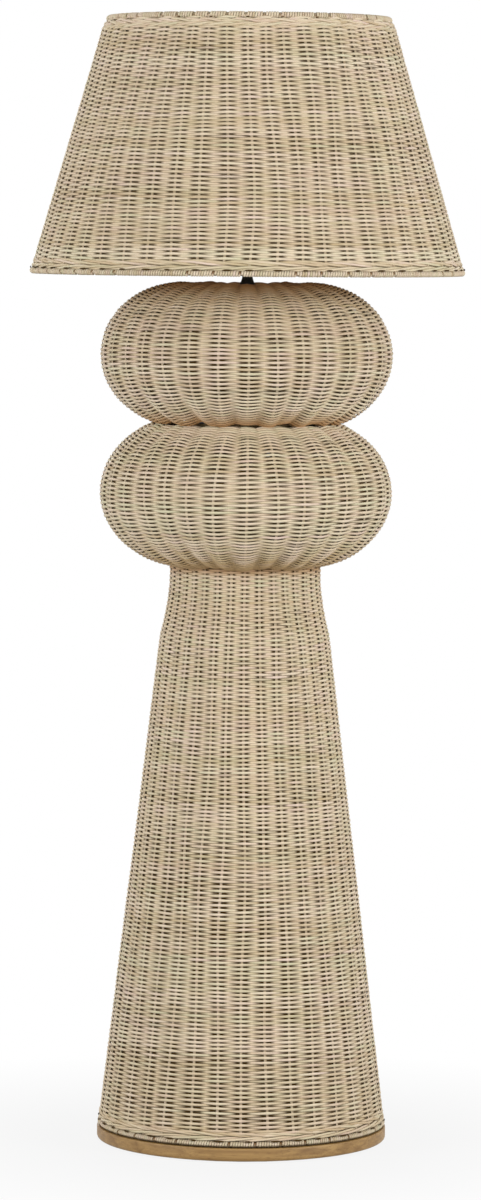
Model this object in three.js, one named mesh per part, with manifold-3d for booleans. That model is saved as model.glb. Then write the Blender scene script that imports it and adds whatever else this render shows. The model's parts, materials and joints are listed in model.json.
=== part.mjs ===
// A woven rattan floor lamp. A tapered column and two round gourds of rattan are threaded on a steel tube
// above a weighted wooden base, and a tapered rattan shade hangs from a harp that stands over the bulb.
// Millimetres, +Z up. The origin is on the floor below the middle of the base, and the front looks to -Y.
import * as THREE from "three";
import { mergeVertices } from "three/addons/utils/BufferGeometryUtils.js";
import Module from "manifold-3d";

const wasm = await Module();
wasm.setup();

// Fits and cuts
const fitGap = 0.3; // left between two pieces that touch
const overrun = 3; // how far a cut runs past the piece that it cuts

// Rattan
const caneDiameter = 3;
const canesInWall = 3; // a stake with a weaver before it and a weaver behind it
const weaveWall = canesInWall * caneDiameter;
const valleyDepth = caneDiameter; // each face of the weave draws in by one cane between two stakes
const borderRadius = 4.5; // the wrapped rims are round hoops
const columnStakes = 34;
const gourdStakes = 32;
const shadeStakes = 51;

// Base
const baseRadius = 200;
const feltThickness = 2;
const feltMargin = 14;
const boardThickness = 18;
const boardRoundBelow = 5;
const boardRoundAbove = 2;
const recessRadius = 22;
const recessDepth = 13;
const channelWidth = 11;
const channelHeight = 10;
const bushingWall = 1.6;
const bushingLength = 12;
const ballastRadius = 150;
const ballastThickness = 10;

// Tube, nuts and clamp plates
const tubeRadius = 5;
const tubeBore = 3.5;
const nutRadius = 9.8; // to its corners
const nutHeight = 6;
const thinNutHeight = 3.2;
const washerThickness = 1.5;
const plateThickness = 2;
const plateLap = 15; // how far a clamp plate reaches over the weave round its opening
const tubeEnd = 0.5; // how far the tube stands out of its lowest nut

// Column
const columnHeight = 774;
const footInset = 1.5; // of the weave from the edge of the base
const shoulderRadius = 117.5;
const neckRadius = 104.5;
const neckLength = 10; // of the straight part at the column's top
const bendHeight = 82; // from the shoulder up to the neck
const bendShare = 0.6; // of the way up from the shoulder to the neck, where the bend's tangents meet
const rodRadius = 4;
const rodCount = 4;
const hoopRadius = 4;
const midHoopHeight = 350; // above the base board
const neckBoardThickness = 15;
const neckOpening = 40;

// Gourds
const gourdOverhang = 1.5; // how far a gourd reaches past the edge of the base
const gourdFlatRadius = 80; // inside this radius a gourd's top and bottom are flat
const lowerDrop = 103; // from the equator to the underside
const lowerRise = 105; // from the equator to where its top would close
const upperDrop = 101.5;
const upperRise = 100;
const gourdSpacing = 189; // from equator to equator
const pinchOpening = 60;
const pinchBoardRadius = 74;
const pinchBoardThickness = 10;
const crownDish = 8;
const crownFlatRadius = 46; // of the level bottom of the dish
const crownOpening = 30;
const crownBoardRadius = 62;
const crownBoardThickness = 10;

// Neck cap, harp and saddle
const capHeight = 34;
const capFlangeRadius = 22;
const capFlangeThickness = 1.6;
const capWaistRadius = 6.4;
const capTopRadius = 8;
const capTopThickness = 2.5;
const saddleHalfSpan = 34;
const saddleFlat = 15; // half of the saddle's level middle
const saddleRise = 7;
const saddleWidth = 14;
const saddleThickness = 2;
const postHeight = 6;
const wireRadius = 2;
const ferruleRadius = 3.9;
const ferruleLength = 12;
const ferruleTravel = 10;
const harpHeight = 308;
const harpHalfWidth = 57;
const harpBend = 70; // height over which a leg swings out from the saddle
const harpArch = 48;
const harpPlateRadius = 10;
const harpPlateThickness = 2.4;
const studRadius = 3.2;
const studLength = 17;

// Socket, switch and bulb
const socketCapRadius = 19.5;
const socketCapHeight = 24;
const socketHubRadius = 8.5;
const socketHubHeight = 4;
const sheetMetal = 0.9;
const socketShellHeight = 60;
const switchBlockHeight = 30;
const shellThreadRadius = 13.9;
const screwShellHeight = 26;
const knobRadius = 5.5;
const knobLength = 13;
const knobShaftRadius = 1.8;
const knobStandoff = 5;
const knobBite = 8; // how deep the shaft sits in the switch block
const knobRibs = 10;
const knobRibDepth = 0.7;
const bulbCapRadius = 13.1;
const bulbCapHeight = 24;
const bulbThreadDepth = 0.9;
const bulbThreadTurns = 4;
const bulbTipRadius = 5;
const bulbTipHeight = 2.5;
const bulbRadius = 30;
const bulbHeight = 82; // of the glass above its screw cap
const bulbNeckRadius = 12.6;

// Shade
const shadeHeight = 353;
const shadeTopRadius = 196.5;
const shadeBottomRadius = 299.5;
const ringWireRadius = 2.5;
const uprightCount = 6;
const spiderRecess = 26.5;
const spiderArms = 3;
const hubRadius = 13;
const hubThickness = 2;
const finialHeight = 20;
const finialBallRadius = 7.5;
const finialCollarRadius = 6;
const finialCollarHeight = 5;
const finialWaistRadius = 4.2;
const finialRoof = 4; // metal left above the end of the stud

// Facets
const meridians = 16;
const rimMeridians = 36;
const plateMeridians = 24;
const tubeSides = 12;
const wireSides = 6;
const hexSides = 6;
const flatShare = Math.cos(Math.PI / wireSides); // of a wire's radius, from its axis to a flat

// Levels, from the floor up
const boardTop = feltThickness + boardThickness;
const columnTop = boardTop + columnHeight;
const neckLevel = columnTop - neckLength;
const shoulderLevel = neckLevel - bendHeight;
const lowerEquator = columnTop + fitGap + lowerDrop;
const upperEquator = lowerEquator + gourdSpacing;
const pinchShare = gourdSpacing / (lowerRise + upperDrop); // of each rise at which the two gourds meet
const pinchLevel = lowerEquator + lowerRise * pinchShare;
const crownTop = upperEquator + upperRise;
const capSeat = crownTop - crownDish + fitGap;
const saddleLevel = capSeat + capHeight + fitGap;
const socketLevel = saddleLevel + saddleThickness + fitGap;
const harpPlateTop = saddleLevel + saddleThickness + harpHeight;
const hubLevel = harpPlateTop + fitGap;
const shadeTop = hubLevel + spiderRecess;
const shadeBottom = shadeTop - shadeHeight;

// Sizes that follow from others
const columnFootRadius = baseRadius - footInset;
const gourdRadius = baseRadius + gourdOverhang;
const tubeHole = tubeRadius + fitGap;
const recessCeiling = feltThickness + recessDepth;
const baseWasherBottom = recessCeiling - fitGap - washerThickness;
const baseNutBottom = baseWasherBottom - fitGap - thinNutHeight;
const socketNutTop = socketLevel + socketHubHeight + nutHeight;

const looks = {
  rattan: { color: 0xd3c2a2, roughness: 0.62, metalness: 0 },
  pole: { color: 0xc2a67a, roughness: 0.7, metalness: 0 },
  oak: { color: 0xa88356, roughness: 0.5, metalness: 0 },
  plywood: { color: 0xb99a6b, roughness: 0.75, metalness: 0 },
  felt: { color: 0x2b2a28, roughness: 0.95, metalness: 0 },
  castIron: { color: 0x3a3a3c, roughness: 0.7, metalness: 0.8 },
  steel: { color: 0x9a9c9f, roughness: 0.4, metalness: 1 },
  blackMetal: { color: 0x14120f, roughness: 0.45, metalness: 0.6 },
  brass: { color: 0xb28a46, roughness: 0.35, metalness: 1 },
  phenolic: { color: 0x1a1614, roughness: 0.5, metalness: 0 },
  rubber: { color: 0x1c1c1c, roughness: 0.8, metalness: 0 },
  glass: { color: 0xf4f1ea, roughness: 0.25, metalness: 0 },
};

const lamp = new THREE.Group();
lamp.name = "rattan_floor_lamp";

function place(name, geometry, look) {
  const mesh = new THREE.Mesh(geometry, new THREE.MeshStandardMaterial(looks[look]));
  mesh.name = name;
  lamp.add(mesh);
  return mesh;
}

// Revolves a list of [radius, height] round Z. It runs up the outside and down the inside, or from axis to
// axis.
function revolve(outline, sides = meridians) {
  const points = outline.map(([radius, height]) => new THREE.Vector2(radius, height));
  return new THREE.LatheGeometry(points, sides).rotateX(Math.PI / 2);
}

// The same for an outline that closes on itself.
function revolveClosed(outline, sides = meridians) {
  return revolve([...outline, outline[0]], sides);
}

function solidFrom(geometry) {
  const bare = geometry.clone();
  bare.deleteAttribute("normal");
  bare.deleteAttribute("uv");
  const merged = mergeVertices(bare);
  return new wasm.Manifold(
    new wasm.Mesh({
      numProp: 3,
      vertProperties: merged.attributes.position.array,
      triVerts: new Uint32Array(merged.index.array),
    }),
  );
}

function geometryFrom(solid) {
  const mesh = solid.getMesh();
  const geometry = new THREE.BufferGeometry();
  geometry.setAttribute("position", new THREE.BufferAttribute(mesh.vertProperties, 3));
  geometry.setIndex(new THREE.BufferAttribute(mesh.triVerts, 1));
  return geometry;
}

function cut(geometry, ...tools) {
  return geometryFrom(tools.reduce((left, tool) => left.subtract(solidFrom(tool)), solidFrom(geometry)));
}

function join(geometry, ...others) {
  return geometryFrom(others.reduce((whole, other) => whole.add(solidFrom(other)), solidFrom(geometry)));
}

// A disc or ring from one level to another.
function disc(radius, hole, bottom, top, sides = meridians) {
  return revolveClosed([[hole, bottom], [radius, bottom], [radius, top], [hole, top]], sides);
}

function cylinder(radius, bottom, top, sides = meridians) {
  return revolve([[0, bottom], [radius, bottom], [radius, top], [0, top]], sides);
}

// A round hoop of a given wire, lying level. Corners of its section are its lowest and highest points.
function hoop(ringRadius, level, wire, ringSides = meridians, sides = wireSides) {
  const outline = [];
  for (let i = 0; i < sides; i++) {
    const turn = (2 * Math.PI * i) / sides - Math.PI / 2;
    outline.push([ringRadius + wire * Math.cos(turn), level + wire * Math.sin(turn)]);
  }
  return revolveClosed(outline, ringSides);
}

// A wrapped rim of a given outer radius.
function border(radius, level) {
  return hoop(radius - borderRadius, level, borderRadius, rimMeridians);
}

// A round wire through points [x, z] of the XZ plane, mitred at its corners and closed at both ends.
function wireThrough(points, radius, sides = wireSides) {
  const path = points.map(([x, z]) => new THREE.Vector3(x, 0, z));
  const last = path.length - 1;
  const across = new THREE.Vector3(0, 1, 0);
  const vertices = [];
  const faces = [];
  path.forEach((point, i) => {
    const before = path[Math.max(i, 1)].clone().sub(path[Math.max(i, 1) - 1]).normalize();
    const after = path[Math.min(i, last - 1) + 1].clone().sub(path[Math.min(i, last - 1)]).normalize();
    const along = before.clone().add(after).normalize();
    const up = across.clone().cross(along).divideScalar(along.dot(after));
    for (let k = 0; k < sides; k++) {
      const turn = (2 * Math.PI * k) / sides;
      const vertex = point.clone().addScaledVector(across, radius * Math.cos(turn));
      vertices.push(...vertex.addScaledVector(up, radius * Math.sin(turn)));
      if (i === last) continue;
      const here = i * sides + k;
      const next = i * sides + ((k + 1) % sides);
      faces.push(here, here + sides, next, next, here + sides, next + sides);
    }
  });
  const end = last * sides;
  for (let k = 1; k < sides - 1; k++) faces.push(0, k, k + 1, end, end + k + 1, end + k);
  const geometry = new THREE.BufferGeometry();
  geometry.setAttribute("position", new THREE.Float32BufferAttribute(vertices, 3));
  geometry.setIndex(faces);
  return geometry;
}

// A woven wall: the outline is revolved with two meridians to a stake, and at every second meridian both
// faces draw in to the wall's middle, which leaves one rib for each stake inside and out. Faces inside
// plainRadius stay round.
function weave(outer, inner, stakes, plainRadius = 0) {
  const geometry = revolveClosed([...outer, ...inner], 2 * stakes);
  const position = geometry.attributes.position;
  const rows = outer.length + inner.length + 1;
  for (let i = 0; i < position.count; i++) {
    const meridian = Math.floor(i / rows);
    const row = i % rows;
    const radius = Math.hypot(position.getX(i), position.getY(i));
    if (meridian % 2 === 0 || radius < plainRadius + valleyDepth) continue;
    const onOuter = row < outer.length || row === rows - 1;
    const drawn = onOuter ? radius - valleyDepth : radius + valleyDepth;
    position.setX(i, (position.getX(i) * drawn) / radius);
    position.setY(i, (position.getY(i) * drawn) / radius);
  }
  return geometry;
}

// Points of a quarter ellipse round a gourd's flat: share 0 is the equator and share 1 the flat's edge.
function gourdArc(level, depth, height, fromShare, toShare, steps) {
  const points = [];
  for (let i = 0; i <= steps; i++) {
    const turn = (Math.PI / 2) * (fromShare + ((toShare - fromShare) * i) / steps);
    points.push([
      gourdFlatRadius + (gourdRadius - gourdFlatRadius - depth) * Math.cos(turn),
      level + height * Math.sin(turn),
    ]);
  }
  return points;
}

function baseFelt() {
  return cylinder(baseRadius - feltMargin, 0, feltThickness - fitGap, rimMeridians);
}

function baseBoard() {
  const bottom = feltThickness;
  const edge = [];
  const roundSteps = 2;
  for (let i = 0; i <= roundSteps; i++) {
    const turn = ((Math.PI / 2) * i) / roundSteps;
    edge.push([
      baseRadius - boardRoundBelow * (1 - Math.sin(turn)),
      bottom + boardRoundBelow * (1 - Math.cos(turn)),
    ]);
  }
  for (let i = 0; i <= roundSteps; i++) {
    const turn = ((Math.PI / 2) * i) / roundSteps;
    edge.push([
      baseRadius - boardRoundAbove * (1 - Math.cos(turn)),
      boardTop - boardRoundAbove * (1 - Math.sin(turn)),
    ]);
  }
  const outline = [
    [recessRadius, bottom],
    ...edge,
    [tubeHole, boardTop],
    [tubeHole, recessCeiling],
    [recessRadius, recessCeiling],
  ];
  const channelLength = baseRadius + overrun;
  const channel = new THREE.BoxGeometry(channelWidth, channelLength, channelHeight + overrun);
  channel.translate(0, channelLength / 2, bottom + (channelHeight - overrun) / 2);
  return cut(revolveClosed(outline, rimMeridians), channel);
}

// A square sleeve in the end of the cord channel, at the back of the base.
function cordBushing() {
  const width = channelWidth - 2 * fitGap;
  const height = channelHeight - 2 * fitGap;
  const middle = feltThickness + channelHeight / 2;
  const end = baseRadius - bushingLength / 2 - boardRoundBelow;
  const sleeve = new THREE.BoxGeometry(width, bushingLength, height);
  sleeve.translate(0, end, middle);
  const passage = new THREE.BoxGeometry(
    width - 2 * bushingWall,
    bushingLength + overrun,
    height - 2 * bushingWall,
  );
  passage.translate(0, end, middle);
  return cut(sleeve, passage);
}

function ballastPlate() {
  const bottom = boardTop + fitGap;
  return disc(ballastRadius, tubeHole, bottom, bottom + ballastThickness, plateMeridians);
}

function hexNut(bottom, height = nutHeight) {
  const top = bottom + height;
  return cut(
    cylinder(nutRadius, bottom, top, hexSides),
    cylinder(tubeHole, bottom - overrun, top + overrun, tubeSides),
  );
}

function centerTube() {
  return disc(tubeRadius, tubeBore, baseNutBottom - tubeEnd, socketNutTop, tubeSides);
}

function columnOutline(depth) {
  const foot = boardTop + 2 * borderRadius + 2 * fitGap;
  const shoulder = new THREE.Vector2(shoulderRadius, shoulderLevel);
  const neck = new THREE.Vector2(neckRadius, neckLevel);
  const corner = new THREE.Vector2(neckRadius, shoulderLevel + bendHeight * bendShare);
  const bend = new THREE.QuadraticBezierCurve(shoulder, corner, neck).getPoints(2);
  const points = [[columnFootRadius, foot], ...bend.map((p) => [p.x, p.y]), [neckRadius, columnTop]];
  return points.map(([radius, height]) => [radius - depth, height]);
}

function columnWeave() {
  return weave(columnOutline(0), columnOutline(weaveWall).reverse(), columnStakes);
}

// The radius of the column's inner wall at a level.
function columnInside(level) {
  const points = columnOutline(weaveWall);
  const next = Math.max(1, points.findIndex(([, height]) => height > level));
  const [lowRadius, low] = points[next - 1];
  const [highRadius, high] = points[next];
  return lowRadius + ((highRadius - lowRadius) * (level - low)) / (high - low);
}

// The axis of a column rod, a straight cane from the base board up to the neck board. It keeps clear of the
// wall at the foot, at the shoulder and at the neck.
function rodAxis() {
  const low = boardTop + fitGap;
  const high = columnTop - neckBoardThickness - fitGap;
  const clear = rodRadius * flatShare + 2 * fitGap;
  const footReach = columnInside(low) - clear;
  const shoulderReach = shoulderRadius - weaveWall - clear;
  const leanShare = (high - low) / (shoulderLevel - low);
  const pastShoulder = footReach + (shoulderReach - footReach) * leanShare;
  const topReach = Math.min(neckRadius - weaveWall - 2 * rodRadius, pastShoulder);
  const dip = (rodRadius * (footReach - topReach)) / (high - low);
  return [[footReach, low + dip], [topReach, high - dip]];
}

function columnMidHoop() {
  const [[footReach, low], [topReach, high]] = rodAxis();
  const level = boardTop + midHoopHeight;
  const reach = footReach + ((topReach - footReach) * (level - low)) / (high - low);
  const ringRadius = reach - (rodRadius + hoopRadius) * flatShare - 2 * fitGap;
  return hoop(ringRadius, level, hoopRadius, 4 * rodCount);
}

// A turned board with a spigot that stands up through the opening in the weave.
function spigotBoard(radius, thickness, flangeTop, opening, spigotTop) {
  return revolveClosed([
    [tubeHole, flangeTop - thickness],
    [radius, flangeTop - thickness],
    [radius, flangeTop],
    [opening - fitGap, flangeTop],
    [opening - fitGap, spigotTop],
    [tubeHole, spigotTop],
  ]);
}

function washer(radius, bottom, thickness) {
  return disc(radius, tubeHole, bottom, bottom + thickness, tubeSides);
}

const neckFloor = lowerEquator - lowerDrop + weaveWall; // inside the lower gourd
const pinchCeiling = lowerEquator + lowerRise - weaveWall;
const pinchFloor = upperEquator - upperDrop + weaveWall; // inside the upper gourd
const crownCeiling = crownTop - crownDish - weaveWall;

function neckBoard() {
  const radius = neckRadius - weaveWall - 2 * fitGap;
  return spigotBoard(radius, neckBoardThickness, columnTop, neckOpening, neckFloor);
}

function pinchBoard() {
  const top = pinchCeiling - fitGap;
  return spigotBoard(pinchBoardRadius, pinchBoardThickness, top, pinchOpening, pinchFloor);
}

function crownBoard() {
  const top = crownCeiling - fitGap;
  return spigotBoard(crownBoardRadius, crownBoardThickness, top, crownOpening, capSeat - fitGap);
}

function lowerGourdWeave() {
  const bottom = lowerEquator - lowerDrop;
  const seam = pinchLevel - fitGap / 2;
  const seamShare = (2 / Math.PI) * Math.asin(pinchShare);
  const outer = [
    [neckOpening, bottom],
    ...gourdArc(lowerEquator, 0, -lowerDrop, 1, 0, 4),
    ...gourdArc(lowerEquator, 0, lowerRise, 0, seamShare, 3).slice(1, -1),
    [gourdFlatRadius + (gourdRadius - gourdFlatRadius) * Math.sqrt(1 - pinchShare ** 2), seam],
    [pinchOpening, seam],
  ];
  const inner = [
    [pinchOpening, pinchCeiling],
    ...gourdArc(lowerEquator, weaveWall, lowerRise - weaveWall, 1, 0, 2),
    ...gourdArc(lowerEquator, weaveWall, weaveWall - lowerDrop, 0, 1, 2).slice(1),
    [neckOpening, neckFloor],
  ];
  return weave(outer, inner, gourdStakes, gourdFlatRadius);
}

function upperGourdWeave() {
  const seam = pinchLevel + fitGap / 2;
  const seamShare = (2 / Math.PI) * Math.asin(pinchShare);
  const outer = [
    [pinchOpening, seam],
    [gourdFlatRadius + (gourdRadius - gourdFlatRadius) * Math.sqrt(1 - pinchShare ** 2), seam],
    ...gourdArc(upperEquator, 0, -upperDrop, seamShare, 0, 3).slice(1),
    ...gourdArc(upperEquator, 0, upperRise, 0, 1, 4).slice(1),
    [crownFlatRadius, crownTop - crownDish],
    [crownOpening, crownTop - crownDish],
  ];
  const inner = [
    [crownOpening, crownCeiling],
    [crownBoardRadius + fitGap, crownCeiling],
    ...gourdArc(upperEquator, weaveWall, upperRise - weaveWall, 1, 0, 2),
    ...gourdArc(upperEquator, weaveWall, weaveWall - upperDrop, 0, 1, 2).slice(1),
    [pinchOpening, pinchFloor],
  ];
  return weave(outer, inner, gourdStakes, gourdFlatRadius);
}

// The black trumpet between the upper gourd and the harp's saddle.
function neckCap() {
  const bottom = capSeat;
  const top = bottom + capHeight;
  const flangeTop = bottom + capFlangeThickness;
  const shoulder = top - capTopThickness;
  const flare = new THREE.CubicBezierCurve(
    new THREE.Vector2(capFlangeRadius - capFlangeThickness, flangeTop),
    new THREE.Vector2(capWaistRadius, flangeTop),
    new THREE.Vector2(capWaistRadius, (flangeTop + shoulder) / 2),
    new THREE.Vector2(capWaistRadius, shoulder),
  ).getPoints(3);
  return revolveClosed([
    [tubeHole, bottom],
    [capFlangeRadius, bottom],
    [capFlangeRadius, flangeTop],
    ...flare.map((p) => [p.x, p.y]),
    [capTopRadius, shoulder],
    [capTopRadius, top],
    [tubeHole, top],
  ]);
}

// A strip bent up at both ends, with a post on each end for the harp's legs.
function harpSaddle() {
  const half = wireRadius + saddleThickness / 2;
  const tip = saddleHalfSpan + half;
  const low = saddleLevel;
  const high = saddleLevel + saddleRise;
  const strip = new THREE.Shape();
  const corners = [
    [-tip, high],
    [-saddleHalfSpan + half, high],
    [-saddleFlat, low],
    [saddleFlat, low],
    [saddleHalfSpan - half, high],
    [tip, high],
    [tip, high + saddleThickness],
    [saddleHalfSpan - half - saddleThickness, high + saddleThickness],
    [saddleFlat - saddleThickness, low + saddleThickness],
    [saddleThickness - saddleFlat, low + saddleThickness],
    [half + saddleThickness - saddleHalfSpan, high + saddleThickness],
    [-tip, high + saddleThickness],
  ];
  corners.forEach(([x, y], i) => (i ? strip.lineTo(x, y) : strip.moveTo(x, y)));
  strip.closePath();
  const bar = new THREE.ExtrudeGeometry(strip, { depth: saddleWidth, bevelEnabled: false });
  bar.translate(0, 0, -saddleWidth / 2);
  bar.rotateX(Math.PI / 2);
  const posts = [-saddleHalfSpan, saddleHalfSpan].map((x) =>
    cylinder(wireRadius, high, high + saddleThickness + postHeight, tubeSides).translate(x, 0, 0),
  );
  const hole = cylinder(tubeHole, low - overrun, low + saddleThickness + overrun, tubeSides);
  return cut(join(bar, ...posts), hole);
}

const legFoot = saddleLevel + saddleRise + saddleThickness + postHeight + fitGap;

// One wire from leg to leg over the bulb, with a plate and a threaded stud at its top.
function harp() {
  const bendStart = legFoot + ferruleLength + ferruleTravel;
  const bendMiddle = bendStart + harpBend / 2;
  const bendEnd = bendStart + harpBend;
  const crown = harpPlateTop - wireRadius;
  const path = new THREE.Path();
  path.moveTo(-saddleHalfSpan, legFoot);
  path.lineTo(-saddleHalfSpan, bendStart);
  path.bezierCurveTo(-saddleHalfSpan, bendMiddle, -harpHalfWidth, bendMiddle, -harpHalfWidth, bendEnd);
  path.lineTo(-harpHalfWidth, crown - harpArch);
  path.absellipse(0, crown - harpArch, harpHalfWidth, harpArch, Math.PI, 0, true);
  path.lineTo(harpHalfWidth, bendEnd);
  path.bezierCurveTo(harpHalfWidth, bendMiddle, saddleHalfSpan, bendMiddle, saddleHalfSpan, bendStart);
  path.lineTo(saddleHalfSpan, legFoot);
  const wire = wireThrough(path.getPoints(5).map((p) => [p.x, p.y]), wireRadius);
  const plate = cylinder(harpPlateRadius, harpPlateTop - harpPlateThickness, harpPlateTop, tubeSides);
  const stud = cylinder(studRadius, harpPlateTop - harpPlateThickness, harpPlateTop + studLength, tubeSides);
  return join(wire, plate, stud);
}

// A sleeve that slides up the leg to free the harp from its saddle.
function harpFerrule(side) {
  const bottom = saddleLevel + saddleRise + saddleThickness + fitGap;
  const geometry = disc(ferruleRadius, wireRadius + fitGap, bottom, bottom + ferruleLength, tubeSides);
  return geometry.translate(side * saddleHalfSpan, 0, 0);
}

const shellFloor = socketLevel + socketHubHeight + nutHeight + fitGap;
const shellRadius = socketCapRadius - sheetMetal - fitGap;
const blockTop = shellFloor + switchBlockHeight;
const knobLevel = (socketLevel + socketCapHeight + blockTop) / 2;

function socketCap() {
  const bottom = socketLevel;
  const bowl = bottom + socketHubHeight;
  const top = bottom + socketCapHeight;
  const bend = (socketCapRadius - socketHubRadius) / 2;
  return revolveClosed([
    [tubeHole, bottom],
    [socketHubRadius, bottom],
    [socketHubRadius, bowl],
    [socketCapRadius - bend / 2, bowl + bend / 2],
    [socketCapRadius, bowl + bend],
    [socketCapRadius, top],
    [socketCapRadius - sheetMetal, top],
    [socketCapRadius - sheetMetal, bowl + bend + sheetMetal / 2],
    [socketCapRadius - bend / 2 - sheetMetal, bowl + bend / 2 + sheetMetal],
    [socketHubRadius - sheetMetal, bowl + sheetMetal],
    [tubeHole, bowl + sheetMetal],
  ]);
}

function socketShell() {
  const bottom = socketLevel + socketCapHeight / 2;
  const top = socketLevel + socketShellHeight;
  const lip = 2 * sheetMetal;
  const shell = revolveClosed([
    [shellRadius - sheetMetal, bottom],
    [shellRadius, bottom],
    [shellRadius, top - lip],
    [shellRadius + sheetMetal, top],
    [shellRadius, top],
    [shellRadius - sheetMetal, top - lip],
  ]);
  return cut(shell, knobAxisHole(shellRadius + overrun));
}

// A hole towards the front for the switch's shaft.
function knobAxisHole(length) {
  const hole = cylinder(knobShaftRadius + fitGap, 0, length, tubeSides);
  return hole.rotateX(Math.PI / 2).translate(0, 0, knobLevel);
}

function switchBlock() {
  const radius = shellRadius - sheetMetal - fitGap;
  const block = disc(radius, tubeBore, shellFloor, blockTop);
  const hole = knobAxisHole(radius + overrun);
  return cut(block, hole.translate(0, knobBite + fitGap - radius, 0));
}

function screwShell() {
  const bottom = blockTop + fitGap;
  return disc(shellThreadRadius + sheetMetal, shellThreadRadius, bottom, bottom + screwShellHeight);
}

function switchKnob() {
  const blockFace = shellRadius - sheetMetal - fitGap;
  const inner = blockFace - knobBite;
  const start = shellRadius + knobStandoff;
  const end = start + knobLength;
  const nose = knobRadius / 3;
  const sides = 2 * knobRibs;
  const knob = revolve(
    [
      [0, inner],
      [knobShaftRadius, inner],
      [knobShaftRadius, start],
      [knobRadius, start],
      [knobRadius, end - nose],
      [knobRadius - nose, end],
      [0, end],
    ],
    sides,
  );
  const position = knob.attributes.position;
  const rows = position.count / (sides + 1);
  for (let i = 0; i < position.count; i++) {
    const radius = Math.hypot(position.getX(i), position.getY(i));
    if (Math.floor(i / rows) % 2 === 0 || radius < knobRadius - nose / 2) continue;
    position.setX(i, (position.getX(i) * (radius - knobRibDepth)) / radius);
    position.setY(i, (position.getY(i) * (radius - knobRibDepth)) / radius);
  }
  return knob.rotateX(Math.PI / 2).translate(0, 0, knobLevel);
}

const bulbTip = blockTop + fitGap;
const bulbCapBottom = bulbTip + bulbTipHeight;
const bulbCapTop = bulbCapBottom + bulbCapHeight;

// The bulb's screw cap: its thread is a row of round crests.
function bulbScrewCap() {
  const crests = [];
  const pitch = bulbCapHeight / (bulbThreadTurns + 2);
  for (let i = 0; i < bulbThreadTurns; i++) {
    const level = bulbCapBottom + pitch * (i + 1);
    crests.push([bulbCapRadius - bulbThreadDepth, level], [bulbCapRadius, level + pitch / 2]);
  }
  const outline = [
    [0, bulbTip],
    [bulbTipRadius, bulbTip],
    [bulbTipRadius, bulbCapBottom],
    [bulbCapRadius - 2 * bulbThreadDepth, bulbCapBottom],
    ...crests,
    [bulbCapRadius - bulbThreadDepth, bulbCapTop - pitch],
    [bulbCapRadius - bulbThreadDepth, bulbCapTop],
    [0, bulbCapTop],
  ];
  return revolve(outline, tubeSides);
}

function bulbGlobe() {
  const bottom = bulbCapTop + fitGap;
  const middle = bottom + bulbHeight - bulbRadius;
  const neck = new THREE.CubicBezierCurve(
    new THREE.Vector2(bulbNeckRadius, bottom),
    new THREE.Vector2(bulbNeckRadius, (bottom * 2 + middle) / 3),
    new THREE.Vector2(bulbRadius, (bottom + middle) / 2),
    new THREE.Vector2(bulbRadius, middle),
  ).getPoints(4);
  const dome = [];
  const domeSteps = 4;
  for (let i = 1; i <= domeSteps; i++) {
    const turn = ((Math.PI / 2) * i) / domeSteps;
    dome.push([i < domeSteps ? bulbRadius * Math.cos(turn) : 0, middle + bulbRadius * Math.sin(turn)]);
  }
  return revolve([[0, bottom], ...neck.map((p) => [p.x, p.y]), ...dome], tubeSides);
}

const topBorderLevel = shadeTop - borderRadius;
const bottomBorderLevel = shadeBottom + borderRadius;
const ringInset = borderRadius + (borderRadius + ringWireRadius) * flatShare + fitGap;

// The radius of the shade's outer face at a level.
function shadeRadius(level) {
  const share = (level - shadeBottom) / shadeHeight;
  return shadeBottomRadius + (shadeTopRadius - shadeBottomRadius) * share;
}

function shadeWeave() {
  const bottom = shadeBottom + 2 * borderRadius + fitGap;
  const top = shadeTop - 2 * borderRadius - fitGap;
  return weave(
    [
      [shadeRadius(bottom), bottom],
      [shadeRadius(top), top],
    ],
    [
      [shadeRadius(top) - weaveWall, top],
      [shadeRadius(bottom) - weaveWall, bottom],
    ],
    shadeStakes,
  );
}

// A wire ring just inside a wrapped rim.
function shadeRing(rimRadius, level) {
  return hoop(rimRadius - ringInset, level, ringWireRadius, rimMeridians);
}

function shadeUpright() {
  const lean = (shadeBottomRadius - shadeTopRadius) / shadeHeight;
  const clear = ringWireRadius + fitGap + ringWireRadius * lean;
  const low = bottomBorderLevel + clear;
  const high = topBorderLevel - clear;
  const inset = weaveWall + ringWireRadius * flatShare + 2 * fitGap;
  return wireThrough([[shadeRadius(low) - inset, low], [shadeTopRadius - ringInset, high]], ringWireRadius);
}

// A washer on the harp's stud with three arms that rise to the shade's top ring.
function shadeSpider() {
  const armLevel = hubLevel + wireRadius;
  const end = topBorderLevel - ringWireRadius - fitGap;
  const reach = shadeTopRadius - ringInset;
  const stem = 2 * wireRadius; // the upright end of an arm, below the ring
  const rise = end - stem - armLevel;
  const arm = [
    [hubRadius - wireRadius, armLevel],
    [reach - rise, armLevel],
    [reach, armLevel + rise],
    [reach, end],
  ];
  const hub = disc(hubRadius, studRadius + fitGap, hubLevel, hubLevel + hubThickness);
  const arms = [];
  for (let i = 0; i < spiderArms; i++) {
    arms.push(wireThrough(arm, wireRadius).rotateZ((2 * Math.PI * i) / spiderArms - Math.PI / 2));
  }
  return join(hub, ...arms);
}

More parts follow.
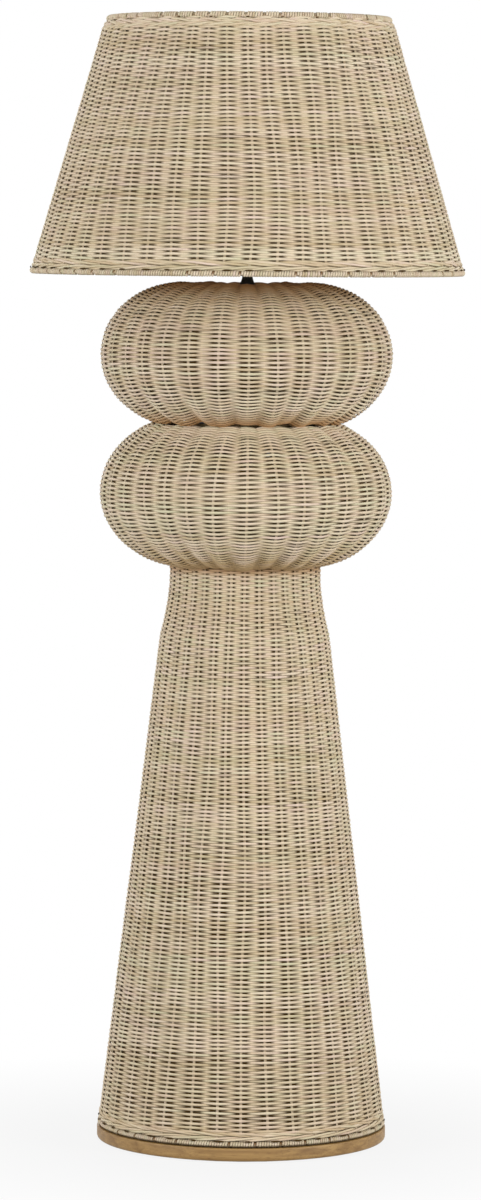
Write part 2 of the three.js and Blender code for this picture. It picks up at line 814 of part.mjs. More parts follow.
// A ball on a collar. Its blind hole takes the harp's stud.
function finial() {
  const bottom = hubLevel + hubThickness + fitGap;
  const top = bottom + finialHeight;
  const ballMiddle = top - finialBallRadius;
  const low = Math.acos(finialWaistRadius / finialBallRadius);
  const ball = [];
  const ballSteps = 5;
  for (let i = 0; i < ballSteps; i++) {
    const turn = ((Math.PI / 2 + low) * i) / ballSteps - low;
    ball.push([finialBallRadius * Math.cos(turn), ballMiddle + finialBallRadius * Math.sin(turn)]);
  }
  const holeTop = Math.min(harpPlateTop + studLength + fitGap, top - finialRoof);
  const outline = [
    [0, holeTop],
    [studRadius + fitGap, holeTop],
    [studRadius + fitGap, bottom],
    [finialCollarRadius, bottom],
    [finialCollarRadius, bottom + finialCollarHeight],
    ...ball,
    [0, top],
  ];
  return revolve(outline, tubeSides);
}

place("base_felt", baseFelt(), "felt");
place("base_board", baseBoard(), "oak");
place("cord_bushing", cordBushing(), "rubber");
place("ballast_plate", ballastPlate(), "castIron");
place("base_washer", washer(nutRadius + washerThickness, baseWasherBottom, washerThickness), "steel");
place("base_nut", hexNut(baseNutBottom, thinNutHeight), "steel");
place("ballast_nut", hexNut(boardTop + ballastThickness + 2 * fitGap), "steel");
place("center_tube", centerTube(), "steel");

place("column_foot_border", border(baseRadius, boardTop + fitGap + borderRadius), "rattan");
place("column_weave", columnWeave(), "rattan");
place("column_mid_hoop", columnMidHoop(), "pole");
for (let i = 0; i < rodCount; i++) {
  const rod = place("column_rod_" + (i + 1), wireThrough(rodAxis(), rodRadius), "pole");
  rod.rotation.z = (2 * Math.PI * (i + 1 / 2)) / rodCount;
}
place("neck_board", neckBoard(), "plywood");
place("neck_clamp_plate", washer(neckOpening + plateLap, neckFloor + fitGap, plateThickness), "steel");
place("neck_nut", hexNut(neckFloor + 2 * fitGap + plateThickness), "steel");

place("lower_gourd_weave", lowerGourdWeave(), "rattan");
place("pinch_board", pinchBoard(), "plywood");
place("pinch_clamp_plate", washer(pinchOpening + plateLap, pinchFloor + fitGap, plateThickness), "steel");
place("pinch_nut", hexNut(pinchFloor + 2 * fitGap + plateThickness), "steel");
place("upper_gourd_weave", upperGourdWeave(), "rattan");
place("crown_board", crownBoard(), "plywood");
place("neck_cap", neckCap(), "blackMetal");

place("harp_saddle", harpSaddle(), "blackMetal");
place("harp", harp(), "blackMetal");
place("harp_ferrule_left", harpFerrule(-1), "blackMetal");
place("harp_ferrule_right", harpFerrule(1), "blackMetal");
place("socket_cap", socketCap(), "blackMetal");
place("socket_shell", socketShell(), "blackMetal");
place("switch_block", switchBlock(), "phenolic");
place("screw_shell", screwShell(), "brass");
place("switch_knob", switchKnob(), "phenolic");
place("bulb_screw_cap", bulbScrewCap(), "steel");
place("bulb_globe", bulbGlobe(), "glass");

place("shade_weave", shadeWeave(), "rattan");
place("shade_top_border", border(shadeTopRadius, topBorderLevel), "rattan");
place("shade_bottom_border", border(shadeBottomRadius, bottomBorderLevel), "rattan");
place("shade_top_ring", shadeRing(shadeTopRadius, topBorderLevel), "blackMetal");
place("shade_bottom_ring", shadeRing(shadeBottomRadius, bottomBorderLevel), "blackMetal");
for (let i = 0; i < uprightCount; i++) {
  const upright = place("shade_upright_" + (i + 1), shadeUpright(), "blackMetal");
  upright.rotation.z = (2 * Math.PI * (i + 1 / 2)) / uprightCount - Math.PI / 2;
}
place("shade_spider", shadeSpider(), "blackMetal");
place("finial", finial(), "blackMetal");

export default lamp;
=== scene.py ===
"""Dresses a woven rattan floor lamp: spiral weavers over doubled stakes, wrapped borders, an oak base and
black metal fittings. Lengths are in metres, +Z is up, and the camera looks along +Y."""
import json
import math

import bpy
import numpy as np
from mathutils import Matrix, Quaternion, Vector


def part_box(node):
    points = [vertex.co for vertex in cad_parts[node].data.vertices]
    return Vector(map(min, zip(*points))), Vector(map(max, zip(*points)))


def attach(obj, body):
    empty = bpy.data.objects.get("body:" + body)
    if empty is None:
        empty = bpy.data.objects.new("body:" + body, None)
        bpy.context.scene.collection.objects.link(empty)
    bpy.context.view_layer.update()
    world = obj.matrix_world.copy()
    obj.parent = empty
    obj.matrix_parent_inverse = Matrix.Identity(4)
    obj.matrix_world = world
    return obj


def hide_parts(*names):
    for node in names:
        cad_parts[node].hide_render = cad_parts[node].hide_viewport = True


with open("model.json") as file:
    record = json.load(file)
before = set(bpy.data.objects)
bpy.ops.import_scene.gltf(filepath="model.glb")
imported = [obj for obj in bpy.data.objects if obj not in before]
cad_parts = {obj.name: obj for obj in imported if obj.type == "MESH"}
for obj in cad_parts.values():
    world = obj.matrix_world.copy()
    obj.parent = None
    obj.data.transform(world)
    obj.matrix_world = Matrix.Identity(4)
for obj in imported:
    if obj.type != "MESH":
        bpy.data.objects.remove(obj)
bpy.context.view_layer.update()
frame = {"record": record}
rng = np.random.default_rng(7)

MM = 0.001
TURN = 2 * math.pi
BACK = TURN / 4  # angles round the axis start at +X, so the front is at -Y
FRONT = -BACK

# The camera fitted to the photograph
PHOTO_HEIGHT = 1200
FOCAL_PIXELS = 5235
SENSOR = 36.0
CAMERA_DISTANCE = 7.2
CAMERA_HEIGHT = 1.274
CAMERA_PITCH = math.radians(4.17)
CAMERA_ROLL = math.radians(0.43)
CAMERA_ASIDE = -0.0062
CAMERA_REACH = 60

# The studio
LAMPS = {  # place and power
    "right": ((4.2, -2.6, 1.75), 146),
    "left": ((-4.2, -2.6, 1.65), 120),
    "front": ((0.2, -5.4, 1.7), 60),
    "back": ((-0.4, 5.4, 1.9), 90),
}
LAMP_SIZE = 2.0
LAMP_TARGET = (0, 0, 0.8)
WHITE = (1, 1, 1, 1)
AMBIENT = 0.42
FLOOR_REACH = 30.0
FLOOR_COLOUR = (0.42, 0.42, 0.42, 1)
FLOOR_WHITE = 0.88  # how white the floor looks under the lamp
FLOOR_FADE_START = 0.25  # it fades to plain white from here
FLOOR_FADE_REACH = 0.5

# Canes
SIDES = 6
PIECE_TRIANGLES = 190000
HALF_CANE = 1.5 * MM
CANE_STEPS = 260  # the usual length of one cane, in steps along it
TONE = (0.66, 0.13)  # mean and spread
TONE_DRIFT = 0.08
HUE = (0.5, 0.12)
HUE_DRIFT = 0.1
PAINTED_EDGE_SHADE = 0.07  # painted shade along every cane's two edges, in the crevices between neighbours
FIBRE_SCALE = 25.0  # how many times a metre the fibres' pattern changes along a cane
FIBRE_WIDTH = 2.5
FIBRE_JUMP = 10  # from one cane's place in the pattern to the next one's
STRIP_SHARE = 0.9  # of a row of the unwrapped canes that they fill
ENDS_PLACE = 0.97
ENDS_SIZE = 0.02

# Weavers
ROW_PITCH = 3.0 * MM
STEPS_PER_WAVE = 10
LIFT = 1.9 * MM  # how far a weaver swings out over a stake, and in behind it
CRIMP = 1.3  # over 1, a weaver runs flat between two stakes and bends close to them
FLATTENED = 0.68  # a weaver's thickness where it is pressed on a stake
WALL_MIDDLE = LIFT + FLATTENED * HALF_CANE  # of the wall, from its outer face
LOOSE = 0.08  # how much its swing varies
SHIFT = 0.1 * MM  # and its height
PACKED = 0.07  # how much taller a weaver is than its pitch, pressed between its neighbours
COLUMN_SPREAD = 0.16  # and how much more beside a stake, seen from outside
GOURD_SPREAD = [0, 0.1, 0.26, 0.1, 0]  # evenly up the gourd
SHADE_SPREAD = 0.2
SPREAD_AT_STAKE = 0.22  # right on a stake
SPREAD_CALM = 0.75  # where the weave is packed tight beside a seam
SPREAD_HIDDEN = 1.0  # from inside, where nobody sees it
SPREAD_INSIDE = 0.85  # from inside of the open shade
# Painted shade: a weaver is painted dark brown where it dips into the weave, where shade falls between the
# canes
PAINTED_DIP_SHADOW_RISE = 1.85  # how quickly the painted shade comes on as a weaver dips
PAINTED_DIP_SHADOW_POWER = 0.68
SHADE_PAINTED_DIP_SHADOW_POWER = 0.5
COLUMN_PAINTED_DIP_SHADOW = [0.07, 0.14, 0.22, 0.32]  # the dip, as a share, at which the painted shade starts, evenly up the column
GOURD_PAINTED_DIP_SHADOW = [-0.1, 0.14, 0.2, 0.1, -0.25]
SHADE_PAINTED_DIP_SHADOW = 0.25
PAINTED_DIP_SHADOW_CALM = 0.6  # how much of the painted shade goes where the weave is packed tight
PAINTED_DIP_SHADOW_FADE = 0.12  # how much the painted shade comes and goes over a weave
UNEVEN_PAINTED_DIP_SHADOW = 0.1  # and from one dip to the next
# Painted shade along the edges of the lamp shade's canes
SHADE_PAINTED_EDGE_SHADE = 0.14
PARTED_PAINTED_SHADE = 0.7  # more painted shade along the edges where two rows have parted
PARTINGS = 0.0012  # how often they part, as a share of a weaver's steps
PARTED_STEPS = 14
PAINTED_HIGHLIGHT = 0.14  # a painted highlight: how much lighter a weaver is painted where it stands out
SAG_EASE = 20 * MM  # from each end of a profile, where the rows lie level

# Unevenness
STRAY = {"waves": 8, "lengths": (0.25, 0.9), "size": 0.045}  # of the stakes, as an angle
SAG = {"waves": 7, "turns": (1, 9), "lengths": (0.12, 0.5), "size": 1.3 * MM}  # of the rows
PACK = {"waves": 6, "turns": (0, 2), "lengths": (0.03, 0.11), "size": 0.22 * MM}  # of how close they lie
FADE = {"waves": 8, "turns": (2, 9), "lengths": (0.08, 0.3), "size": 1.0}  # of the painted shade where weavers dip
SWELLS = {"waves": 4, "turns": (8, 11), "lengths": (0.3, 0.9), "size": 1.0}  # at the neck and the crown
LUMPS = {"waves": 6, "turns": (12, 20), "lengths": (0.3, 0.9), "size": 1.0}  # at the gourds' seam
SWELL_DEPTH = 8 * MM
LUMP_DEPTH = 20 * MM
LOWER_LUMPS = 0.4  # how deep they are on the lower gourd beside the upper
LUMP_POWER = 0.7

# Stakes and waling
STAKE_RADIUS = 0.85 * MM
# Painted shade on the stakes, which lie deep in the wall
STAKE_PAINTED_SHADE = 0.25
STAKE_RISE = 0.9 * MM  # of a stake from the middle of the wall
WALE_ROWS = 2
WALE_PITCH = 6.5 * MM
WALE_SWING = 1.9 * MM
WALE_STEPS = 12
WALE_SPREAD = 1.15
# Painted shade on the waling strands where they turn into the weave
WALE_PAINTED_SHADE = 0.9
UNDER_WALE = 5.0 * MM  # how far the weavers run on behind the waling

# Wrapped rims
BORDER_RADIUS = 4.5 * MM
TOP_RIM_RADIUS = 5 * MM
WRAP_PITCH = 3.5 * MM
HALF_WRAP = 1.2 * MM  # of the wrapping cane's thickness
WRAP_STEPS = 10
WRAP_DIP = 1.0 * MM  # how much deeper the wrap at a stake lies
WRAP_DIPS = 0.75  # the share of stakes that have such a wrap
WRAP_UNEVEN = 0.12 * MM
# Painted shade on the wraps: along their edges, on a deeper wrap, on the side towards the weave, and
# red-brown on a deeper wrap
WRAP_PAINTED_EDGE_SHADE = 0.35
WRAP_BLEACH = 0.15
WRAP_PAINTED_SHADE = 0.5  # painted shade on a deeper wrap, and on all wraps on the side of the weave
WRAP_PAINTED_WARM_SHADE = 0.9
CORE_RADIUS = 2.0 * MM
CORE_STEPS = 120
SLOT_SHADE_LENGTH = 14.0 * MM  # of the dark piece beside each stake, above a rim, painted as the shade in the slot
SLOT_SHADE_RADIUS = 1.4 * MM
SLOT_SHADE_LENGTHS = (0.5, 1.1)  # shares of it
SLOT_SHADE_STRAY = 0.08
SLOT_SHADE_TAPER = 0.7
SLOT_SHADE_DEPTH = 0.6
FOOT_SLOT_SHADE_OUT = 0.5 * MM  # how far a slot stands out of the foot's rim
RIM_UNDER = 0.9  # how far down a wrap the painted shade on its underside reaches, as a share of its radius
FOOT_UNDER = 0.25

# Column
COLUMN_STAKES = 34
COLUMN_FOOT_RADIUS = 198.5 * MM
COLUMN_RIB = 0.4 * MM
SHOULDER_RADIUS = 117.5 * MM
SHOULDER_LEVEL = 702 * MM
NECK_RADIUS = 104.5 * MM
NECK_LEVEL = 784 * MM
BEND_SHARE = 0.6
NECK_REACH = 4 * MM  # how far the column's weave runs on up against the gourd

# Gourds
GOURD_STAKES = 32
GOURD_RADIUS = 201.5 * MM
GOURD_FLAT_RADIUS = 80 * MM
CROWN_SHOULDER_RADIUS = 91 * MM  # of the flat that the crown's curve ends on
LOWER_DROP = 103 * MM
LOWER_RISE = 105 * MM
UPPER_DROP = 101.5 * MM
UPPER_RISE = 100 * MM
HIDDEN_REACH = 12 * MM  # how far the weave runs on where it is out of sight
CROWN_DISH = 8 * MM
CROWN_FLAT_RADIUS = 46 * MM
CROWN_REACH = 20 * MM
RIB_SHARES = [0, 0.25, 0.48, 0.78]  # of the way from a gourd's equator to its flat
RIB_DEPTHS = [0.9 * MM, 1.6 * MM, 2.7 * MM, 0]  # how far the surface draws in between two stakes there
CROWN_RIBS = 0.6  # how deep the crown's ribs are beside the others

# Shade
SHADE_STAKES = 51
SHADE_RIB = 0.4 * MM
SHADE_TOP_RADIUS = 196.5 * MM
SHADE_BOTTOM_RADIUS = 299.5 * MM
SHADE_BEND = 24 * MM
SHADE_TURN_IN = 5 * MM
UNDER_RIM = 4 * MM  # how far the weave runs on behind a rim

# Fittings
FIT_GAP = 0.3 * MM
CRISP = 35  # degrees over which an edge of a fitting stays crisp
WIRE_SIDES = 12
TUBE_HOLE = 5.3 * MM
RECESS_RADIUS = 22 * MM
RECESS_DEPTH = 13 * MM
ROUND_BELOW = 5 * MM
ROUND_ABOVE = 2 * MM
CHANNEL_WIDTH = 11 * MM
CHANNEL_HEIGHT = 10 * MM
CAP_FLANGE_THICKNESS = 1.6 * MM
CAP_WAIST_RADIUS = 6.4 * MM
CAP_TOP_RADIUS = 8 * MM
CAP_TOP_THICKNESS = 2.5 * MM
SADDLE_HALF_SPAN = 34 * MM
WIRE_RADIUS = 2 * MM
FERRULE_LENGTH = 12 * MM
FERRULE_TRAVEL = 10 * MM
HARP_BEND = 70 * MM
HARP_HALF_WIDTH = 57 * MM
HARP_ARCH = 48 * MM
HARP_PLATE_RADIUS = 10 * MM
HARP_PLATE_THICKNESS = 2.4 * MM
STUD_RADIUS = 3.2 * MM
STUD_LENGTH = 17 * MM
SOCKET_HUB_RADIUS = 8.5 * MM
SOCKET_HUB_HEIGHT = 4 * MM
SOCKET_ROUND = 5 * MM
SHEET_METAL = 0.9 * MM
KNOB_RADIUS = 5.5 * MM
KNOB_LENGTH = 13 * MM
KNOB_SHAFT_RADIUS = 1.8 * MM
KNOB_RIBS = 10
KNOB_RIB_DEPTH = 0.7 * MM
BULB_TIP_RADIUS = 5 * MM
BULB_TIP_HEIGHT = 2.5 * MM
BULB_THREAD_DEPTH = 0.9 * MM
BULB_THREAD_TURNS = 4
BULB_NECK_RADIUS = 12.6 * MM
RING_RADIUS = 2.5 * MM
UPRIGHTS = 6
SPIDER_ARMS = 3
SPIDER_ROUND = 8 * MM
HUB_RADIUS = 13 * MM
HUB_HOLE = 3.5 * MM
HUB_THICKNESS = 2 * MM
FINIAL_ROOF = 4 * MM
FINIAL_BALL_RADIUS = 7.5 * MM
FINIAL_WAIST_RADIUS = 4.2 * MM
FINIAL_COLLAR_RADIUS = 6 * MM
FINIAL_COLLAR_HEIGHT = 5 * MM


def linear(red, green, blue):
    """An sRGB colour of 0 to 255 as a linear colour: the gamma curve taken off each share."""
    shares = np.array([red, green, blue]) / 255
    light = np.where(shares <= 0.04045, shares / 12.92, ((shares + 0.055) / 1.055) ** 2.4)
    return (*light.tolist(), 1.0)


class Value:
    """A node's output. Adding, subtracting, multiplying or dividing it makes the Math node that does so."""

    def __init__(self, finish, socket):
        self.finish = finish
        self.socket = socket

    def maths(self, operation, first, second):
        return self.finish.node("ShaderNodeMath", {0: first, 1: second}, operation=operation)

    def __add__(self, other):
        return self.maths("ADD", self, other)

    def __sub__(self, other):
        return self.maths("SUBTRACT", self, other)

    def __rsub__(self, other):
        return self.maths("SUBTRACT", other, self)

    def __mul__(self, other):
        return self.maths("MULTIPLY", self, other)

    def __truediv__(self, other):
        return self.maths("DIVIDE", self, other)

    __radd__ = __add__
    __rmul__ = __mul__

    def clamped(self):
        return self.finish.node("ShaderNodeClamp", {"Value": self})


class Finish:
    """The nodes of a new material or world. node() adds one of a type, with its settings, a ramp's stops and
    the values or links of its sockets, and gives the output asked for."""

    def __init__(self, name, kind="materials"):
        self.holder = getattr(bpy.data, kind).new(name)
        self.holder.use_nodes = True
        self.tree = self.holder.node_tree
        self.tree.nodes.clear()

    def node(self, kind, sockets=None, out=0, stops=(), **settings):
        made = self.tree.nodes.new(kind)
        for key, value in settings.items():
            setattr(made, key, value)
        while stops and len(made.color_ramp.elements) < len(stops):
            made.color_ramp.elements.new(1.0)
        for i, (place, colour) in enumerate(stops):
            made.color_ramp.elements[i].position = place
            made.color_ramp.elements[i].color = colour
        for key, value in (sockets or {}).items():
            if isinstance(value, Value):
                self.tree.links.new(value.socket, made.inputs[key])
            else:
                made.inputs[key].default_value = value
        return Value(self, made.outputs[out]) if len(made.outputs) else None

    def attribute(self, name, out="Fac"):
        return self.node("ShaderNodeAttribute", out=out, attribute_name=name)

    def ramp(self, value, stops):
        return self.node("ShaderNodeValToRGB", {"Fac": value}, "Color", stops)

    def place(self, scale=(1, 1, 1)):
        """Object coordinates times a scale for each axis."""
        at = self.node("ShaderNodeTexCoord", out="Object")
        return self.node("ShaderNodeMapping", {"Vector": at, "Scale": scale}, "Vector")

    def noise(self, vector, scale, detail=3.0, distortion=0.0):
        values = {"Vector": vector, "Scale": scale, "Detail": detail, "Distortion": distortion}
        return self.node("ShaderNodeTexNoise", values, "Fac")

    def mix(self, factor, first, second):
        return self.node("ShaderNodeMix", {0: factor, 6: first, 7: second}, 2, data_type="RGBA")

    def bump(self, height, strength, distance):
        values = {"Height": height, "Strength": strength, "Distance": distance}
        return self.node("ShaderNodeBump", values, "Normal")

    def in_view(self):
        """One for what the camera sees, straight, in a gloss or through glass, and zero for other rays."""
        names = ("Is Camera Ray", "Is Glossy Ray", "Is Transmission Ray")
        straight, glossy, through = (self.node("ShaderNodeLightPath", out=name) for name in names)
        return (straight + glossy + through).clamped()

    def surface(self, **sockets):
        names = {key.replace("_", " "): value for key, value in sockets.items()}
        shader = self.node("ShaderNodeBsdfPrincipled", names)
        self.node("ShaderNodeOutputMaterial", {"Surface": shader})
        return self.holder


def rattan_finish(name):
    """Peeled cane. Each cane has its own tint, between greenish, cream and pink, and fine fibres run along
    it.
    It is painted dark brown as shade where it dips into the weave and along its edges, and red-brown and
    darker gold as shade near the gourds' seams and under the lamp shade."""
    paint = Finish(name)
    fleck = paint.noise(paint.place(), 19.0)
    hue = paint.attribute("hue") + 0.8 * (fleck - 0.5)
    tints = [(0.0, linear(210, 205, 172)), (0.5, linear(226, 210, 183)), (1.0, linear(226, 203, 188))]
    cane = paint.ramp(hue, tints)
    # A low tone gives a darker gold: the cane's own tone, lowered as darker golden painted shade beside the
    # seams and raised as a painted highlight where a weaver stands out
    cane = paint.mix(paint.attribute("tone"), linear(187, 162, 120), cane)
    # Red-brown painted shade beside the gourds' seams, over the crown under the lamp shade, at the column's
    # top and on deeper wraps
    cane = paint.mix(paint.attribute("brown"), cane, linear(166, 118, 68))
    fibre = paint.noise(paint.attribute("fibre", "Vector"), 1.0)
    cane = paint.mix((fibre - 0.5).clamped() * 1.1, cane, linear(158, 128, 86))
    # Dark brown painted shade where a cane dips into the weave, along its edges, on rim undersides and in the
    # slots beside the stakes
    depth = paint.attribute("depth")
    cane = paint.mix(depth, cane, linear(66, 46, 8))
    return paint.surface(
        Base_Color=cane,
        Roughness=0.45 + 0.2 * fibre + 0.3 * depth,
        Specular_IOR_Level=0.3,
        Normal=paint.bump(fibre, 0.3, 0.25 * MM),
    )


def oak_finish(name):
    """Planks along X: growth rings cut at a slant, with fine dark pores drawn out along the plank."""
    paint = Finish(name)
    wander = paint.noise(paint.place((1.2, 9.0, 9.0)), 1.0)
    rings = paint.noise(paint.place((2.5, 60.0, 160.0)), 1.0, 4.0, 0.8)
    pores = paint.noise(paint.place((30.0, 700.0, 900.0)), 1.0, 2.0)
    rings = ((rings - 0.5) * 2.2 + 0.5).clamped()
    wood = paint.mix(rings, linear(112, 80, 38), linear(178, 143, 88))
    wood = paint.mix(wander * 0.5, wood, linear(158, 120, 66))
    wood = paint.mix((pores - 0.52).clamped() * 2.5, wood, linear(96, 66, 34))
    return paint.surface(
        Base_Color=wood,
        Roughness=0.4 + 0.2 * pores,
        Normal=paint.bump(pores, 0.15, 0.2 * MM),
    )


def black_metal_finish(name):
    """Satin black paint with a faint orange peel and small changes of gloss."""
    paint = Finish(name)
    peel = paint.noise(paint.place(), 700.0, 2.0)
    wear = paint.noise(paint.place(), 60.0)
    return paint.surface(
        Base_Color=paint.mix(wear, linear(17, 15, 14), linear(30, 27, 24)),
        Metallic=0.35,
        Roughness=0.32 + 0.2 * wear,
        Normal=paint.bump(peel, 0.1, 0.1 * MM),
    )


def metal_finish(name, dull, bright, roughness):
    """Bare or plated metal with turned marks round its axis and small changes of gloss."""
    paint = Finish(name)
    marks = paint.noise(paint.place((120.0, 120.0, 3000.0)), 1.0, 2.0)
    return paint.surface(
        Base_Color=paint.mix(marks, dull, bright),
        Metallic=1.0,
        Roughness=roughness + 0.15 * marks,
        Normal=paint.bump(marks, 0.08, 0.05 * MM),
    )


def matte_finish(name, dark, light, roughness, scale):
    """A dull surface, such as felt, rubber, iron or raw board, mottled at one scale."""
    paint = Finish(name)
    mottle = paint.noise(paint.place(), scale, 4.0)
    return paint.surface(
        Base_Color=paint.mix(mottle, dark, light),
        Roughness=roughness,
        Normal=paint.bump(mottle, 0.3, 0.3 * MM),
    )


def glass_finish(name):
    """White frosted glass, seen unlit."""
    paint = Finish(name)
    haze = paint.noise(paint.place(), 90.0, 2.0)
    return paint.surface(
        Base_Color=paint.mix(haze, linear(236, 233, 226), linear(247, 245, 240)),
        Roughness=0.22 + 0.1 * haze,
        Coat_Weight=0.5,
    )


def placed(name, data):
    """A new object at the origin, in the scene."""
    made = bpy.data.objects.new(name, data)
    bpy.context.scene.collection.objects.link(made)
    return made


def mesh_object(name, vertices, faces, material, attributes=None, uv=None, sharp=None):
    """A smooth mesh object at the origin from an array of vertices and a list of face arrays, each with its
    own number of corners. Edges sharper than an angle in degrees stay crisp."""
    mesh = bpy.data.meshes.new(name)
    vertices = np.asarray(vertices, dtype=np.float32).reshape(-1, 3)
    faces = [np.asarray(block, dtype=np.int32) for block in faces]
    loops = np.concatenate([block.ravel() for block in faces])
    corners = np.concatenate([np.full(len(block), block.shape[1]) for block in faces])
    mesh.vertices.add(len(vertices))
    mesh.vertices.foreach_set("co", vertices.ravel())
    mesh.loops.add(len(loops))
    mesh.loops.foreach_set("vertex_index", loops)
    mesh.polygons.add(len(corners))
    mesh.polygons.foreach_set("loop_start", (np.cumsum(corners) - corners).astype(np.int32))
    mesh.polygons.foreach_set("use_smooth", np.ones(len(corners), dtype=bool))
    for key, values in (attributes or {}).items():
        values = np.asarray(values, dtype=np.float32)
        kind, field = ("FLOAT_VECTOR", "vector") if values.ndim == 2 else ("FLOAT", "value")
        mesh.attributes.new(key, kind, "POINT").data.foreach_set(field, values.ravel())
    if uv is not None:
        mesh.uv_layers.new(name="OFBake").data.foreach_set("uv", uv.astype(np.float32).ravel())
    mesh.materials.append(material)
    mesh.update(calc_edges=True)
    if sharp is not None:
        mesh.set_sharp_from_angle(angle=math.radians(sharp))
    return placed(name, mesh)


def dress(piece, node, body):
    """Makes a piece stand for a CAD node and ride on its body."""
    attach(piece, body)
    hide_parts(node)
    return piece


def arc(middle, reach, start, end, count):
    """Points of an ellipse: a middle plus the two reaches times the cosine and the sine of an angle."""
    turn = np.linspace(start, end, count)
    return np.stack([middle[0] + reach[0] * np.cos(turn), middle[1] + reach[1] * np.sin(turn)], axis=1)


def span(node):
    """The bottom, the top and the half width of a CAD node's box."""
    low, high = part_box(node)
    return low[2], high[2], high[0]


def distinct(points, gap):
    """The points of a line, without those that lie within a gap of the one before."""
    steps = np.linalg.norm(np.diff(points, axis=0), axis=1)
    return points[np.concatenate([[True], steps > gap])]


class Profile:
    """A line of [radius, height] points in the XZ plane, read by its length, with its outward normal."""

    def __init__(self, points):
        points = distinct(np.asarray(points, dtype=float), 1e-9)
        length = np.concatenate([[0], np.cumsum(np.hypot(*np.diff(points, axis=0).T))])
        self.length = length[-1]
        self.at = np.linspace(0, self.length, 400)
        self.radius = np.interp(self.at, length, points[:, 0])
        self.height = np.interp(self.at, length, points[:, 1])
        along = np.stack([np.gradient(self.radius, self.at), np.gradient(self.height, self.at)], axis=1)
        along /= np.linalg.norm(along, axis=1)[:, None]
        self.normal = np.stack([along[:, 1], -along[:, 0]], axis=1)

    def read(self, along):
        """Radius, height and the normal's two parts at a length along the line."""
        lines = (self.radius, self.height, *self.normal.T)
        radius, height, out, up = (np.interp(along, self.at, line) for line in lines)
        size = np.hypot(out, up)
        return radius, height, out / size, up / size

    def inset(self, depth):
        """The same line, moved in by a depth."""
        return Profile(np.stack([self.radius, self.height], axis=1) - depth * self.normal)


def bezier(corners, count):
    """Points of a Bezier curve: neighbours are blended by the share gone until one point is left."""
    share = np.linspace(0, 1, count)[:, None]
    points = [np.asarray(corner, dtype=float) + 0 * share for corner in corners]
    while len(points) > 1:
        points = [a + share * (b - a) for a, b in zip(points, points[1:])]
    return points[0]


def rounded(corners, reach, steps=4):
    """A line with each inner corner cut to a curve that starts a reach before it and ends as far after it,
    or half of the way to the next corner where that is nearer."""
    corners = np.array([np.asarray(corner, dtype=float) for corner in corners])
    points = [corners[:1]]
    for before, corner, after in zip(corners, corners[1:], corners[2:]):
        ends = []
        for other in (before, after):
            away = np.linalg.norm(other - corner)
            ends.append(corner + (other - corner) * min(reach / away, 0.5))
        points.append(bezier([ends[0], corner, ends[1]], steps))
    return np.concatenate([*points, corners[-1:]])


def whole_turn(count):
    """Angles evenly spaced round a whole turn."""
    return TURN * np.arange(count) / count


def around(radius, turn, height):
    """Points at a radius, an angle and a height round the lamp's axis."""
    radius, turn, height = np.broadcast_arrays(radius, turn, height)
    return np.stack([radius * np.cos(turn), radius * np.sin(turn), height], axis=-1)


def on_surface(profile, angle, along, lift):
    """Points of a surface of revolution at an angle and a length along its profile, lifted off it, and the
    normals there."""
    radius, height, out, up = profile.read(along)
    return around(radius + lift * out, angle, height + lift * up), around(out, angle, up)


def bands(first, second):
    """Quads between rings of vertices and the rings beside them."""
    corners = [first, np.roll(first, -1, axis=-1), np.roll(second, -1, axis=-1), second]
    return np.stack(corners, axis=-1).reshape(-1, 4)


def tubes(paths, normals, across, thick, closed=False, sides=SIDES):
    """Tubes along paths of shape [strand, step, 3]. Each ring is an ellipse: its thick radius lies along the
    normal and its across radius square to the normal and the path. An open tube's ends are closed. Returns
    the vertices, the faces and how far each vertex of a ring lies out along the normal, from -1 to 1."""
    count, steps = paths.shape[:2]
    if closed:
        tangent = np.roll(paths, -1, axis=1) - np.roll(paths, 1, axis=1)
    else:
        tangent = np.gradient(paths, axis=1)
    tangent /= np.linalg.norm(tangent, axis=2)[..., None]
    side = np.cross(normals, tangent)
    side /= np.linalg.norm(side, axis=2)[..., None]
    lift = np.cross(tangent, side)
    turn = whole_turn(sides)
    high = np.broadcast_to(thick, (count, steps))[:, :, None, None] * np.cos(turn)[:, None]
    wide = np.broadcast_to(across, (count, steps))[:, :, None, None] * np.sin(turn)[:, None]
    vertices = paths[:, :, None] + lift[:, :, None] * high + side[:, :, None] * wide
    index = np.arange(count * steps * sides).reshape(count, steps, sides)
    if closed:
        faces = [bands(np.roll(index, -1, axis=1), index)]
    else:
        ends = np.concatenate([index[:, 0], index[:, -1, ::-1]])
        faces = [bands(index[:, 1:], index[:, :-1]), ends]
    return vertices, faces, np.tile(np.cos(turn), count * steps)


def strip_uv(cells, caps, length):
    """Lays the quads of tubes in a square as rows of strips, cut from the whole length of the cane. The
    ends of the tubes share a small place of their own."""
    rows = max(1, int(math.sqrt(length / (TURN * HALF_CANE))))
    per_row = math.ceil(cells / rows)
    cell = np.arange(cells)
    left = np.repeat((cell % per_row)[:, None] / per_row, SIDES, axis=1)
    base = (cell // per_row)[:, None] / rows
    side = np.arange(SIDES)[None, :]
    low = base + STRIP_SHARE * side / SIDES / rows
    high = base + STRIP_SHARE * (side + 1) / SIDES / rows
    right = left + 1 / per_row
    corners = np.stack([[right, low], [right, high], [left, high], [left, low]])
    turn = whole_turn(SIDES)
    end = np.stack([np.cos(turn), np.sin(turn)], axis=1) * ENDS_SIZE / rows + ENDS_PLACE / rows
    return np.concatenate([corners.transpose(2, 3, 0, 1).reshape(-1, 2), np.tile(end, (caps, 1))])


def smooth_noise(shape, width):
    """Random numbers of unit spread for an array's shape, smoothed over a width."""
    count = math.prod(shape)
    rough = rng.normal(0, 1, count + 4 * width)
    smooth = np.convolve(rough, np.ones(width) / math.sqrt(width), "same")
    return smooth[2 * width : 2 * width + count].reshape(shape)


